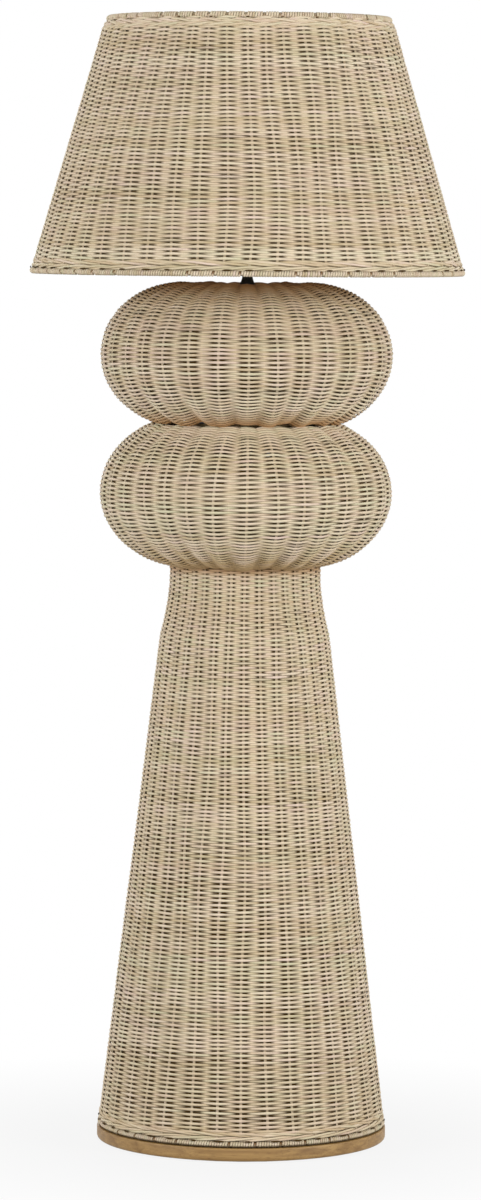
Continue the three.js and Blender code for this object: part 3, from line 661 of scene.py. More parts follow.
def strands(
    name, node, body, paths, normals, across, thick, depth, steps_each, hidden=False, closed=False,
    bleach=0.0, brown=0.0, edge=PAINTED_EDGE_SHADE,
):
    """Canes along paths. A new cane, with its own tint, starts at random every so many steps, and the tint
    drifts along it. Depth, from 0 to 1, is how far a cane has dipped into the weave. It is painted dark there
    as shade on the side that faces out, and all round where the inside is hidden. The tone lift and painted
    light is added to the tone: a painted highlight and darker golden painted shade on weavers, a paler tone
    of their own on wraps. The warm shade is the red-brown painted shade, and edge the painted shade along
    the cane's two edges."""
    vertices, faces, outward = tubes(paths, normals, across, thick, closed)
    shape = paths.shape[:2]

    def each(values):
        """Values of the steps, kept from 0 to 1, at every vertex of their rings."""
        return np.repeat(np.clip(np.broadcast_to(values, shape), 0, 1), SIDES)

    cane = np.cumsum(rng.random(math.prod(shape)) < 1 / steps_each).reshape(shape)
    tone = rng.normal(*TONE, cane.max() + 1)[cane] + TONE_DRIFT * smooth_noise(shape, 9)
    hue = rng.normal(*HUE, cane.max() + 1)[cane] + HUE_DRIFT * smooth_noise(shape, 7)
    reach = np.linalg.norm(np.diff(paths, axis=1), axis=2)
    run = np.concatenate([np.zeros((len(paths), 1)), np.cumsum(reach, axis=1)], axis=1)
    along = np.repeat(FIBRE_SCALE * run + FIBRE_JUMP * cane, SIDES)
    turn = np.tile(whole_turn(SIDES), math.prod(shape))
    # Painted shade: darker where a cane dips in, on its outer side or all round where the inside is hidden,
    # and along its edges
    painted_shade = each(depth) * (1.0 if hidden else 0.5 + 0.5 * outward)
    attributes = {
        "tone": each(tone + bleach),
        "hue": each(hue),
        "depth": painted_shade + each(edge) * np.sin(turn) ** 2 * (1 - painted_shade),
        "brown": each(brown),
        "fibre": np.stack([along, FIBRE_WIDTH * np.cos(turn), FIBRE_WIDTH * np.sin(turn)], axis=1),
    }
    uv = strip_uv(len(faces[0]) // SIDES, 0 if closed else 2 * len(paths), float(reach.sum()))
    dress(mesh_object(name, vertices, faces, FINISHES["rattan"], attributes, uv), node, body)


class Unevenness:
    """How a hand-made weave strays: a sum of sine waves, each with a whole number of turns round the axis,
    a length along the profile and a random phase. Sizes are the size of one wave times its turns."""

    def __init__(self, waves, turns, lengths, size):
        turns = rng.integers(turns[0], turns[1] + 1, waves)
        lengths = rng.uniform(*lengths, waves) * rng.choice([-1, 1], waves)
        phases = rng.uniform(0, TURN, waves)
        self.waves = list(zip(turns, lengths, phases, size / np.maximum(turns, 1)))

    def at(self, angle, along):
        drift = 0
        for turns, length, phase, size in self.waves:
            drift = drift + size * np.sin(turns * angle + TURN * along / length + phase)
        return drift


class Weave:
    """A woven surface of revolution: its profile, its stakes, and how both stakes and rows stray. Spread,
    painted shade and ribs are one number, or numbers evenly spaced along the profile. Lumps are pairs of an
    unevenness and its sizes along the profile. Each seam has a place, a reach, and the red-brown painted
    shade, the calm, tight packing and the darker golden painted shade that it brings."""

    def __init__(self, name, body, profile, stakes, spread, painted_shade, ribs, lumps=(), seams=(), hidden=True):
        self.name = name
        self.body = body
        self.middle = profile.inset(WALL_MIDDLE)
        self.length = self.middle.length
        self.stakes = stakes
        self.spread = spread
        self.painted_shade = painted_shade
        self.ribs = ribs
        self.lumps = lumps
        self.seams = seams
        self.hidden = hidden
        self.spread_inside = SPREAD_HIDDEN if hidden else SPREAD_INSIDE
        self.painted_shade_power = PAINTED_DIP_SHADOW_POWER if hidden else SHADE_PAINTED_DIP_SHADOW_POWER
        self.edge = PAINTED_EDGE_SHADE if hidden else SHADE_PAINTED_EDGE_SHADE
        self.stray = Unevenness(turns=(3, stakes // 3), **STRAY)
        self.sag = Unevenness(**SAG)
        self.pack = Unevenness(**PACK)
        self.fade = Unevenness(**FADE)

    def lay(self, part, *canes, **looks):
        """Canes of one part of this weave."""
        strands(f"{self.name}_{part}", f"{self.name}_weave", self.body, *canes, hidden=self.hidden, **looks)

    def phase(self, angle, along):
        """Counts stakes round the surface as an angle, half a turn from stake to stake, from the front."""
        return self.stakes / 2 * (angle - FRONT + self.stray.at(angle, along))

    def size_at(self, along, sizes):
        """A size there, from one number or from numbers evenly spaced along the profile."""
        sizes = np.atleast_1d(sizes)
        return np.interp(along, np.linspace(0, self.length, len(sizes)), sizes)

    def near(self, along, kind):
        """How strong what a seam brings is, from 0 to 1: a bell curve of the length away from it."""
        near = np.zeros(np.shape(along))
        for seam in self.seams:
            near += seam.get(kind, 0) * np.exp(-(((along - seam["place"]) / seam["reach"]) ** 2))
        return np.clip(near, 0, 1)

    def drawn_in(self, angle, along):
        """How far the surface draws in: by the lumps, and between two stakes by the ribs' depth times one
        less the size of the cosine of the stake phase, which leaves round ribs and sharp valleys."""
        ribs = self.size_at(along, self.ribs) * (1 - self.near(along, "calm"))
        drawn = ribs * (1 - np.abs(np.cos(self.phase(angle, along))))
        return drawn + sum(self.size_at(along, sizes) * lump.at(angle, along) for lump, sizes in self.lumps)

    def point(self, angle, along, lift):
        """A point and the normal at an angle and a length along the profile, with the rows' sag."""
        ease = np.clip(np.minimum(along, self.length - along) / SAG_EASE, 0, 1)
        moved = along + ease * (self.sag.at(angle, along) + self.pack.at(angle, along))
        lift = lift - self.drawn_in(angle, along)
        return on_surface(self.middle, angle, np.clip(moved, 0, self.length), lift)

    def weavers(self, start, end):
        """A plain weave. One spiral weaver if the stakes are odd in number and two if even, each a row
        pitch above the last, swing outside and inside as the crimped cosine of the stake phase, so that each
        passes before one stake and behind the next, and neighbouring rows do the opposite."""
        chasing = 2 if self.stakes % 2 == 0 else 1
        steps_per_turn = STEPS_PER_WAVE * self.stakes // 2
        steps = int((end - start) / (ROW_PITCH * chasing) * steps_per_turn)
        pieces = math.ceil(2 * SIDES * steps * chasing / PIECE_TRIANGLES)
        for part in range(pieces):
            step = np.arange(part * steps // pieces, (part + 1) * steps // pieces + 1)
            weaver = np.arange(chasing)[:, None]
            angle = TURN * (step / steps_per_turn + weaver / chasing) + BACK
            along = start + ROW_PITCH * chasing * step / steps_per_turn + 0 * weaver
            wave = np.cos(self.phase(angle, along) + math.pi * weaver)
            crimped = np.sign(wave) * np.abs(wave) ** CRIMP
            loose = 1 + LOOSE * smooth_noise(angle.shape, 5)
            shift = SHIFT * smooth_noise(angle.shape, 4)
            paths, normals = self.point(angle, along + shift, LIFT * crimped * loose)
            # Painted shade along the edges where rows have parted
            parted = np.convolve(rng.random(angle.size) < PARTINGS, np.ones(PARTED_STEPS), "same")
            parted = np.clip(parted, 0, 1).reshape(angle.shape)
            pressed = np.abs(crimped)
            calm = self.near(along, "calm")
            outside = self.size_at(along, self.spread) * pressed
            outside += SPREAD_AT_STAKE * pressed**6 + SPREAD_CALM * calm
            spread = np.where(wave > 0, outside, self.spread_inside * pressed)
            # Painted shade where the weaver dips, less where packed tight and uneven from dip to dip; a
            # painted highlight where it stands out, and darker golden painted shade beside seams
            dip = PAINTED_DIP_SHADOW_RISE * (-crimped - self.size_at(along, self.painted_shade))
            uneven = UNEVEN_PAINTED_DIP_SHADOW * smooth_noise(angle.shape, STEPS_PER_WAVE)
            fade = 1 + uneven + PAINTED_DIP_SHADOW_FADE * self.fade.at(angle, along)
            self.lay(
                f"weavers_{part + 1}",
                paths,
                normals,
                HALF_CANE * (1 + PACKED + spread),
                HALF_CANE * (1 - (1 - FLATTENED) * pressed),
                np.clip(dip, 0, 1) ** self.painted_shade_power * (1 - PAINTED_DIP_SHADOW_CALM * calm) * fade,
                CANE_STEPS,
                bleach=PAINTED_HIGHLIGHT * np.clip(crimped, 0, 1) ** 2 - self.near(along, "painted_golden_shade"),
                edge=self.edge + PARTED_PAINTED_SHADE * parted,
                brown=self.near(along, "brown"),
            )

    def stake_pairs(self, start, end, steps):
        """Two canes side by side up the middle of the wall at each stake, where the stake phase is whole. The
        angle there is found by taking the stakes' stray off a few times."""
        along = np.linspace(start, end, steps)[None, :]
        even = whole_turn(self.stakes)[:, None] + FRONT
        angle = even + 0 * along
        for _ in range(4):
            angle = even - self.stray.at(angle, along)
        beside = STAKE_RADIUS / self.middle.read(along)[0]
        angle = np.concatenate([angle - beside, angle + beside])
        along = along + 0 * angle
        paths, normals = on_surface(self.middle, angle, along, STAKE_RISE - self.drawn_in(angle, along))
        size = (STAKE_RADIUS, STAKE_RADIUS)
        # Stakes are painted a little dark as shade, and red-brown as shade beside the seams
        self.lay("stakes", paths, normals, *size, STAKE_PAINTED_SHADE, steps, brown=self.near(along, "brown"))

    def waling(self, place, start):
        """Rows of three-strand waling, each level. Its strands turn about one another as a rope's do, once
        every three stakes: outwards by the lift and up by the swing, a third of a turn apart. Rows lean in
        turn the other way."""
        loops = 3 if self.stakes % 3 == 0 else 1
        steps_per_turn = WALE_STEPS * self.stakes // 3
        step = np.arange(steps_per_turn * 3 // loops)
        strand = np.arange(loops)[:, None]
        angle = TURN * step[None, :] / steps_per_turn + BACK + 0 * strand
        for row in range(WALE_ROWS):
            level = start + (row + 0.5) * WALE_PITCH
            whole = TURN * step * self.stakes / (3 * steps_per_turn) + TURN * strand / 3 + row
            twist = whole + self.stakes / 3 * self.stray.at(angle, level)
            swing = (-1) ** row * WALE_SWING * np.sin(twist)
            paths, normals = self.point(angle, level + swing, LIFT * np.cos(twist))
            size = (WALE_SPREAD * HALF_CANE, HALF_CANE)
            # Painted shade on each strand where it turns inwards into the weave
            painted_shade = WALE_PAINTED_SHADE * np.clip(-np.cos(twist), 0, 1)
            self.lay(f"waling_{place}_{row + 1}", paths, normals, *size, painted_shade, CANE_STEPS / 2, closed=True)


def wrapped_rim(name, node, stakes, body, side, size=BORDER_RADIUS, under=RIM_UNDER, slot_shade_out=0.0):
    """A rim wound with cane: a core hoop and a strand that circles it as it goes round, a torus spiral
    whose turns lie a wrap apart. The wrap at each stake is drawn in deeper and painted dark and red-brown as
    shade. The wraps' undersides and their side towards the weave are painted as shade, the core is painted
    dark as the shade inside the wraps, and beside each stake, on the side of the weave, a dark piece is
    painted as the shade of the slot where the stake's end is tucked in."""
    low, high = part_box(node)
    radius = high[0] - size
    level = low[2] + size if side > 0 else high[2] - size
    wraps = int(TURN * radius / WRAP_PITCH)
    step = np.arange(wraps * WRAP_STEPS)
    turn = whole_turn(len(step))
    circling = TURN * (step % WRAP_STEPS) / WRAP_STEPS
    wrap = step // WRAP_STEPS
    at_stake = np.floor((wrap + 0.5) * stakes / wraps) != np.floor((wrap - 0.5) * stakes / wraps)
    drawn = at_stake & (rng.random(wraps)[wrap] < WRAP_DIPS)
    reach = size - HALF_WRAP - WRAP_DIP * drawn + WRAP_UNEVEN * rng.normal(0, 1, wraps)[wrap]
    reach = np.minimum(reach, size - HALF_WRAP)
    out = np.cos(circling)
    up = np.sin(circling)
    paths = around(radius + reach * out, turn, level + reach * up)[None]
    normals = around(out, turn, up)[None]
    # Painted shade on the wraps' undersides, on a deeper wrap and on the side towards the weave, and
    # red-brown on a deeper wrap
    depth = np.clip(4 * (-up - under), 0, 1) + WRAP_PAINTED_SHADE * (drawn + np.clip(side * up - 0.3, 0, 1))
    brown = WRAP_PAINTED_WARM_SHADE * drawn * np.clip(side * up + 0.6, 0, 1)
    looks = {"closed": True, "edge": WRAP_PAINTED_EDGE_SHADE, "bleach": WRAP_BLEACH, "brown": brown}
    strands(name, node, body, paths, normals, WRAP_PITCH / 2, HALF_WRAP, depth, WRAP_STEPS, **looks)
    # The core is painted dark on its outer side, as the shade inside the wraps
    turn = whole_turn(CORE_STEPS)
    core = (around(radius, turn, level)[None], around(1, turn, 0)[None], CORE_RADIUS, CORE_RADIUS)
    strands(name + "_core", node, body, *core, 1, CANE_STEPS, closed=True)
    # Dark pieces beside each stake, painted as the shade in the slots where the stakes' ends are tucked in
    share = np.linspace(0, 1, 5)[None, :]
    start = TURN * (np.arange(stakes)[:, None] + rng.normal(0, SLOT_SHADE_STRAY, (stakes, 1))) / stakes + FRONT
    turn = start + share * SLOT_SHADE_LENGTH / radius * rng.uniform(*SLOT_SHADE_LENGTHS, (stakes, 1))
    far = radius + size - SLOT_SHADE_DEPTH * SLOT_SHADE_RADIUS + slot_shade_out
    slot = SLOT_SHADE_RADIUS * (1 - SLOT_SHADE_TAPER * np.abs(2 * share - 1) ** 3)
    painted_slot_shade = (around(far, turn, level + side * size), around(1, turn, 0), slot, SLOT_SHADE_DEPTH * slot)
    strands(name + "_tucks", node, body, *painted_slot_shade, 1, CANE_STEPS, hidden=True)


def column_profile():
    """A straight cone from the foot to the shoulder, a curve in to the neck, and straight on up."""
    bottom, top, _ = span("column_weave")
    shoulder = [SHOULDER_RADIUS, SHOULDER_LEVEL]
    corner = [NECK_RADIUS, SHOULDER_LEVEL + (NECK_LEVEL - SHOULDER_LEVEL) * BEND_SHARE]
    bend = bezier([shoulder, corner, [NECK_RADIUS, NECK_LEVEL]], 24)
    return Profile([[COLUMN_FOOT_RADIUS, bottom], *bend, [NECK_RADIUS, top + NECK_REACH]])


def gourd_arc(equator, height, start, end, count, flat=GOURD_FLAT_RADIUS):
    """Part of a quarter ellipse from the gourd's equator to the edge of its flat."""
    return arc([flat, equator], [GOURD_RADIUS - flat, height], start, end, count)


def lower_gourd_profile():
    """A quarter ellipse up to the equator, part of one up to the seam, and a hidden step in."""
    bottom, top, _ = span("lower_gourd_weave")
    equator = bottom + LOWER_DROP
    seam = math.asin((top - equator) / LOWER_RISE)
    below = gourd_arc(equator, LOWER_DROP, -BACK, 0, 60)
    above = gourd_arc(equator, LOWER_RISE, 0, seam, 50)
    return Profile([*below, *above, above[-1] - [HIDDEN_REACH, 0]])


def upper_gourd_profile():
    """The same the other way up, with a wider shoulder that ends in a dished crown."""
    bottom, top, _ = span("upper_gourd_weave")
    equator = top - UPPER_RISE
    seam = math.asin((equator - bottom) / UPPER_DROP)
    below = gourd_arc(equator, UPPER_DROP, -seam, 0, 50)
    above = gourd_arc(equator, UPPER_RISE, 0, BACK, 60, CROWN_SHOULDER_RADIUS)
    dish = [[CROWN_FLAT_RADIUS, top - CROWN_DISH], [CROWN_REACH, top - CROWN_DISH]]
    return Profile([below[0] - [HIDDEN_REACH, 0], *below, *above, *dish])


def shade_profile():
    """A straight cone that bends in a little over its last stretch, to lie flush with the top rim."""
    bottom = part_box("shade_bottom_border")[0][2]
    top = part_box("shade_top_border")[1][2]
    lean = (SHADE_BOTTOM_RADIUS - SHADE_TOP_RADIUS) / (top - bottom)
    bend = [SHADE_TOP_RADIUS + lean * SHADE_BEND, top - SHADE_BEND]
    corner = [SHADE_TOP_RADIUS + lean * SHADE_BEND / 2, top - SHADE_BEND / 2]
    curve = bezier([bend, corner, [SHADE_TOP_RADIUS - SHADE_TURN_IN, top]], 20)
    return Profile([[SHADE_BOTTOM_RADIUS, bottom], *curve])


def make_column():
    """The column's weave, with a row of waling and a wrapped rim at its foot."""
    profile = column_profile()
    # Red-brown and darker golden painted shade where the column meets the gourd above
    seams = [{"place": profile.length, "reach": 8 * MM, "brown": 0.6, "painted_golden_shade": 0.4}]
    weave = Weave(
        "column", "stand", profile, COLUMN_STAKES, COLUMN_SPREAD, COLUMN_PAINTED_DIP_SHADOW, COLUMN_RIB, seams=seams
    )
    weave.weavers(WALE_ROWS * WALE_PITCH - UNDER_WALE, weave.length)
    weave.stake_pairs(0, weave.length, 60)
    weave.waling("low", 0)
    looks = {"under": FOOT_UNDER, "slot_shade_out": FOOT_SLOT_SHADE_OUT}
    wrapped_rim("column_foot_wrapping", "column_foot_border", COLUMN_STAKES, "stand", 1, **looks)


def make_gourds():
    """Two gourds, with lumps beside the seam between them and wider swells at their other ends."""
    for name, profile in (("lower_gourd", lower_gourd_profile()), ("upper_gourd", upper_gourd_profile())):
        share = np.max(profile.radius) - profile.radius
        share = share / (np.max(profile.radius) - GOURD_FLAT_RADIUS)
        ribs = np.interp(share, RIB_SHARES, RIB_DEPTHS)
        depths = LUMP_DEPTH * np.clip(share, 0, 1) ** LUMP_POWER
        above = np.linspace(0, 1, len(share)) > 0.5
        if name == "lower_gourd":
            inner = above
            depths = LOWER_LUMPS * depths
            # Darker golden and red-brown painted shade on the lower gourd's underside and beside the seam,
            # where shade falls
            seams = [
                {"place": 20 * MM, "reach": 40 * MM, "brown": 0.35, "painted_golden_shade": 1.3},
                {"place": 20 * MM, "reach": 22 * MM, "calm": 2.0},
                {"place": profile.length - HIDDEN_REACH, "reach": 24 * MM, "brown": 0.08, "calm": 2.5},
            ]
        else:
            inner = ~above
            ribs = ribs * np.where(above, CROWN_RIBS, 1)
            crown = profile.length - (CROWN_SHOULDER_RADIUS - CROWN_REACH)
            # Red-brown and darker golden painted shade beside the seam and over the crown, under the lamp
            # shade
            seams = [
                {"place": HIDDEN_REACH, "reach": 20 * MM, "brown": 0.75, "calm": 0.9, "painted_golden_shade": 0.5},
                {"place": crown, "reach": 64 * MM, "brown": 1.2, "painted_golden_shade": 0.9},
                {"place": crown, "reach": 27 * MM, "calm": 2.2},
            ]
        swells = (Unevenness(**SWELLS), SWELL_DEPTH * np.clip(share, 0, 1) * ~inner)
        lumps = [(Unevenness(**LUMPS), depths * inner), swells]
        weave = Weave(name, "stand", profile, GOURD_STAKES, GOURD_SPREAD, GOURD_PAINTED_DIP_SHADOW, ribs, lumps, seams)
        weave.weavers(0, weave.length)
        weave.stake_pairs(0, weave.length, 70)


def make_shade():
    """The shade's weave between two rows of waling, and its wrapped rims."""
    looks = (SHADE_SPREAD, SHADE_PAINTED_DIP_SHADOW, SHADE_RIB)
    weave = Weave("shade", "shade", shade_profile(), SHADE_STAKES, *looks, hidden=False)
    rim = 2 * BORDER_RADIUS
    wale = rim + WALE_ROWS * WALE_PITCH
    weave.weavers(wale - UNDER_WALE, weave.length - rim + UNDER_RIM)
    weave.stake_pairs(rim, weave.length - rim, 30)
    weave.waling("low", rim)
    weave.waling("high", weave.length - wale)
    for place, side, size in (("top", -1, TOP_RIM_RADIUS), ("bottom", 1, BORDER_RADIUS)):
        wrapped_rim(f"shade_{place}_wrapping", f"shade_{place}_border", SHADE_STAKES, "shade", side, size)


def lathe(outline, sides, closed=False, shape=None):
    """Vertices and faces of a line of [radius, height] turned about the Z axis. It starts and ends on the
    axis, or is closed on itself. Shape changes the radius at each point from radius, angle and height."""
    outline = np.asarray(outline, dtype=float)
    turn = whole_turn(sides)
    rings = outline if closed else outline[1:-1]
    radius = rings[:, :1] + 0 * turn
    height = rings[:, 1:] + 0 * turn
    if shape is not None:
        radius = shape(radius, turn, height)
    vertices = around(radius, turn, height).reshape(-1, 3)
    index = np.arange(len(vertices)).reshape(len(rings), sides)
    if closed:
        return vertices, [bands(index, np.roll(index, -1, axis=0))]
    first = len(vertices)
    vertices = np.concatenate([vertices, [[0, 0, outline[0, 1]], [0, 0, outline[-1, 1]]]])
    under = np.stack([np.full(sides, first), np.roll(index[0], -1), index[0]], axis=1)
    over = np.stack([index[-1], np.roll(index[-1], -1), np.full(sides, first + 1)], axis=1)
    return vertices, [bands(index[:-1], index[1:]), under, over]


def laid(vertices, level):
    """Vertices whose axis is turned from upright to forward, along -Y, at a level."""
    return np.stack([vertices[:, 0], -vertices[:, 2], vertices[:, 1] + level], axis=1)


def disc(inner, outer, bottom, top):
    """The outline of a disc or a ring."""
    return [[inner, bottom], [outer, bottom], [outer, top], [inner, top]]


def fitting(node, body, part, vertices, faces):
    """A smooth piece with crisp edges that stands for a CAD node."""
    made = mesh_object("fine_" + node + part, vertices, faces, FINISHES[SLOTS[node]], sharp=CRISP)
    return dress(made, node, body)


def turned(node, body, outline, sides=48, closed=False, shape=None, part="", aside=0, lies_at=None):
    """A lathe-turned piece that stands for a CAD node. Its axis goes up, moved aside along X, or forward at
    the level that it lies at."""
    vertices, faces = lathe(outline, sides, closed, shape)
    if lies_at is not None:
        vertices = laid(vertices, lies_at)
    return fitting(node, body, part, vertices + [aside, 0, 0], faces)


def wire(node, body, path, normal, radius, closed=False, part=""):
    """A round wire along a path, with one normal that is square to it all along."""
    normals = np.broadcast_to(np.asarray(normal, dtype=float), path.shape)
    vertices, faces, _ = tubes(path[None], normals[None], radius, radius, closed, WIRE_SIDES)
    fitting(node, body, part, vertices, faces)


def cut_away(piece, vertices, faces):
    """Takes a closed shape out of a piece for good."""
    cutter = mesh_object("cutter", vertices, faces, piece.data.materials[0])
    cut = piece.modifiers.new("cut", "BOOLEAN")
    cut.operation = "DIFFERENCE"
    cut.object = cutter
    shaped = piece.evaluated_get(bpy.context.evaluated_depsgraph_get())
    whole = piece.data
    piece.data = bpy.data.meshes.new_from_object(shaped)
    piece.modifiers.clear()
    piece.data.set_sharp_from_angle(angle=math.radians(CRISP))
    tool = cutter.data
    bpy.data.objects.remove(cutter)
    for mesh in (whole, tool):
        bpy.data.meshes.remove(mesh)


def make_base():
    """A turned board with rounded edges and a recess below, and a channel cut from the recess to the back."""
    bottom, top, edge = span("base_board")
    ceiling = bottom + RECESS_DEPTH
    below = bezier([[edge - ROUND_BELOW, bottom], [edge, bottom], [edge, bottom + ROUND_BELOW]], 8)
    above = bezier([[edge, top - ROUND_ABOVE], [edge, top], [edge - ROUND_ABOVE, top]], 6)
    hole = [[TUBE_HOLE, top], [TUBE_HOLE, ceiling], [RECESS_RADIUS, ceiling], [RECESS_RADIUS, bottom]]
    board = turned("base_board", "stand", [*below, *above, *hole], 160, closed=True)
    half = CHANNEL_WIDTH / 2
    plan = [(-half, 0), (half, 0), (half, 2 * edge), (-half, 2 * edge)]
    corners = [[x, y, bottom + z] for z in (-CHANNEL_HEIGHT, CHANNEL_HEIGHT) for x, y in plan]
    sides = [[0, 3, 2, 1], [4, 5, 6, 7], [0, 1, 5, 4], [1, 2, 6, 5], [2, 3, 7, 6], [3, 0, 4, 7]]
    cut_away(board, corners, [sides])


def make_neck_cap():
    """A thin flange that sweeps up to a waist in one curve, under a small rolled top."""
    bottom, top, edge = span("neck_cap")
    flange = bottom + CAP_FLANGE_THICKNESS
    shoulder = top - CAP_TOP_THICKNESS
    foot = edge - CAP_FLANGE_THICKNESS
    waist = CAP_WAIST_RADIUS
    flare = bezier([[foot, flange], [waist, flange], [waist, (flange + shoulder) / 2], [waist, shoulder]], 20)
    start = rounded([[TUBE_HOLE, bottom], [edge, bottom], [edge, flange], flare[0]], 0.6 * MM)
    end = rounded([flare[-1], [CAP_TOP_RADIUS, shoulder], [CAP_TOP_RADIUS, top], [TUBE_HOLE, top]], 0.8 * MM)
    turned("neck_cap", "stand", [*start, *flare[1:-1], *end], 64, closed=True)


def make_harp():
    """One wire from leg to leg: upright, out in a slanting curve, up to a half ellipse over the bulb."""
    foot, tip, _ = span("harp")
    top = tip - STUD_LENGTH
    start = foot + FERRULE_LENGTH + FERRULE_TRAVEL
    middle, end = start + HARP_BEND / 2, start + HARP_BEND
    near, wide = SADDLE_HALF_SPAN, HARP_HALF_WIDTH
    leg = bezier([[near, start], [near, middle], [wide, middle], [wide, end]], 16)
    arch = arc([0, top - WIRE_RADIUS - HARP_ARCH], [wide, HARP_ARCH], 0, TURN / 2, 40)
    half = np.concatenate([[[near, foot]], leg])
    line = distinct(np.concatenate([half, arch, half[::-1] * [-1, 1]]), 0.01 * MM)
    path = np.stack([line[:, 0], 0 * line[:, 0], line[:, 1]], axis=1)
    wire("harp", "stand", path, [0, 1, 0], WIRE_RADIUS)
    plate = rounded(disc(0, HARP_PLATE_RADIUS, top - HARP_PLATE_THICKNESS, top), 0.5 * MM)
    turned("harp", "stand", plate, 40, part="_plate")
    turned("harp", "stand", rounded(disc(0, STUD_RADIUS, top - MM, tip), 0.6 * MM), 24, part="_stud")
    for name, side in (("left", -1), ("right", 1)):
        node = "harp_ferrule_" + name
        low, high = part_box(node)
        bore, wall = WIRE_RADIUS + FIT_GAP, (high[0] - low[0]) / 2
        inner, outer = (bore + wall) / 2, [wall, (low[2] + high[2]) / 2]
        above = rounded([outer, [wall, high[2]], [inner, high[2]], [bore, high[2]]], 0.8 * MM)
        below = rounded([[bore, low[2]], [inner, low[2]], [wall, low[2]], outer], 0.8 * MM)
        turned(node, "ferrule_" + name, [*below[:-1], *above], 28, closed=True, aside=side * near)


def make_socket():
    """A black cap and shell, with a fluted key of the switch in front."""
    bottom, top, wide = span("socket_cap")
    hub, bowl = SOCKET_HUB_RADIUS, bottom + SOCKET_HUB_HEIGHT
    bend, brim, inside = bowl + (wide - hub) / 2, top - MM, wide - SHEET_METAL
    outer = [[TUBE_HOLE, bottom], [hub, bottom], [hub, bowl], [wide, bend], [wide, brim]]
    inner = [[inside, brim], [inside, bend], [hub, bowl + SHEET_METAL], [TUBE_HOLE, bowl + SHEET_METAL]]
    outer, inner = (rounded(line, SOCKET_ROUND, 6) for line in (outer, inner))
    turned("socket_cap", "stand", [*outer, [wide, top], [inside, top], *inner], 56, closed=True)
    bottom, top, edge = span("socket_shell")
    wide, inside, lip = edge - SHEET_METAL, edge - 2 * SHEET_METAL, top - 2 * SHEET_METAL
    flare = [[wide, bottom], [wide, lip], [edge, top], [wide, top], [inside, lip], [inside, bottom]]
    shell = turned("socket_shell", "stand", flare, 56, closed=True)
    low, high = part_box("switch_knob")
    level = (low[2] + high[2]) / 2
    vertices, faces = lathe(disc(0, KNOB_SHAFT_RADIUS + FIT_GAP, 0, 2 * wide), 20)
    cut_away(shell, laid(vertices, level), faces)
    far, near = -low[1], -high[1]

    def fluted(distance, turn, along):
        """Grooves as a cosine of the turn, all along the head up to its face."""
        grip = (distance > 0.6 * KNOB_RADIUS) & (along < far - 0.1 * KNOB_LENGTH)
        return distance - KNOB_RIB_DEPTH * grip * (0.5 - 0.5 * np.cos(KNOB_RIBS * turn))

    start = far - KNOB_LENGTH
    head = [[KNOB_SHAFT_RADIUS, start], [KNOB_RADIUS, start], [KNOB_RADIUS, far], [0, far]]
    outline = [[0, near], [KNOB_SHAFT_RADIUS, near], *rounded(head, 1.6 * MM, 6)]
    turned("switch_knob", "knob", outline, 120, shape=fluted, lies_at=level)


def make_bulb():
    """A screw cap whose round thread climbs one pitch a turn, and a frosted pear-shaped globe."""
    tip, top, wide = span("bulb_screw_cap")
    bottom = tip + BULB_TIP_HEIGHT
    pitch = (top - bottom) / (BULB_THREAD_TURNS + 2)
    root = wide - BULB_THREAD_DEPTH

    def threaded(distance, turn, height):
        """A crest that climbs with the turn and runs out over a pitch at both ends."""
        climb = (height - bottom) / pitch - turn / TURN
        start = np.clip((height - bottom - pitch / 2) / pitch, 0, 1)
        run = np.clip(2 * start * np.clip((top - pitch / 2 - height) / pitch, 0, 1), 0, 1)
        crest = BULB_THREAD_DEPTH * (0.5 + 0.5 * np.cos(TURN * climb)) * run
        return distance + crest * (distance > 0.9 * root)

    wall = [[root, z] for z in np.linspace(bottom + pitch / 4, top - MM / 2, 60)]
    foot = rounded([[0, tip], [BULB_TIP_RADIUS, tip], [BULB_TIP_RADIUS, bottom], [0.85 * root, bottom]], MM)
    turned("bulb_screw_cap", "bulb", [*foot, *wall, [0.95 * root, top], [0, top]], shape=threaded)
    bottom, top, wide = span("bulb_globe")
    middle, neck = top - wide, BULB_NECK_RADIUS
    rise, half = (2 * bottom + middle) / 3, (bottom + middle) / 2
    pear = bezier([[neck, bottom], [neck, rise], [wide, half], [wide, middle]], 24)
    dome = arc([0, middle], [wide, wide], 0, BACK, 20)
    turned("bulb_globe", "bulb", [[0, bottom], *pear, *dome[1:-1], [0, top]], 64)


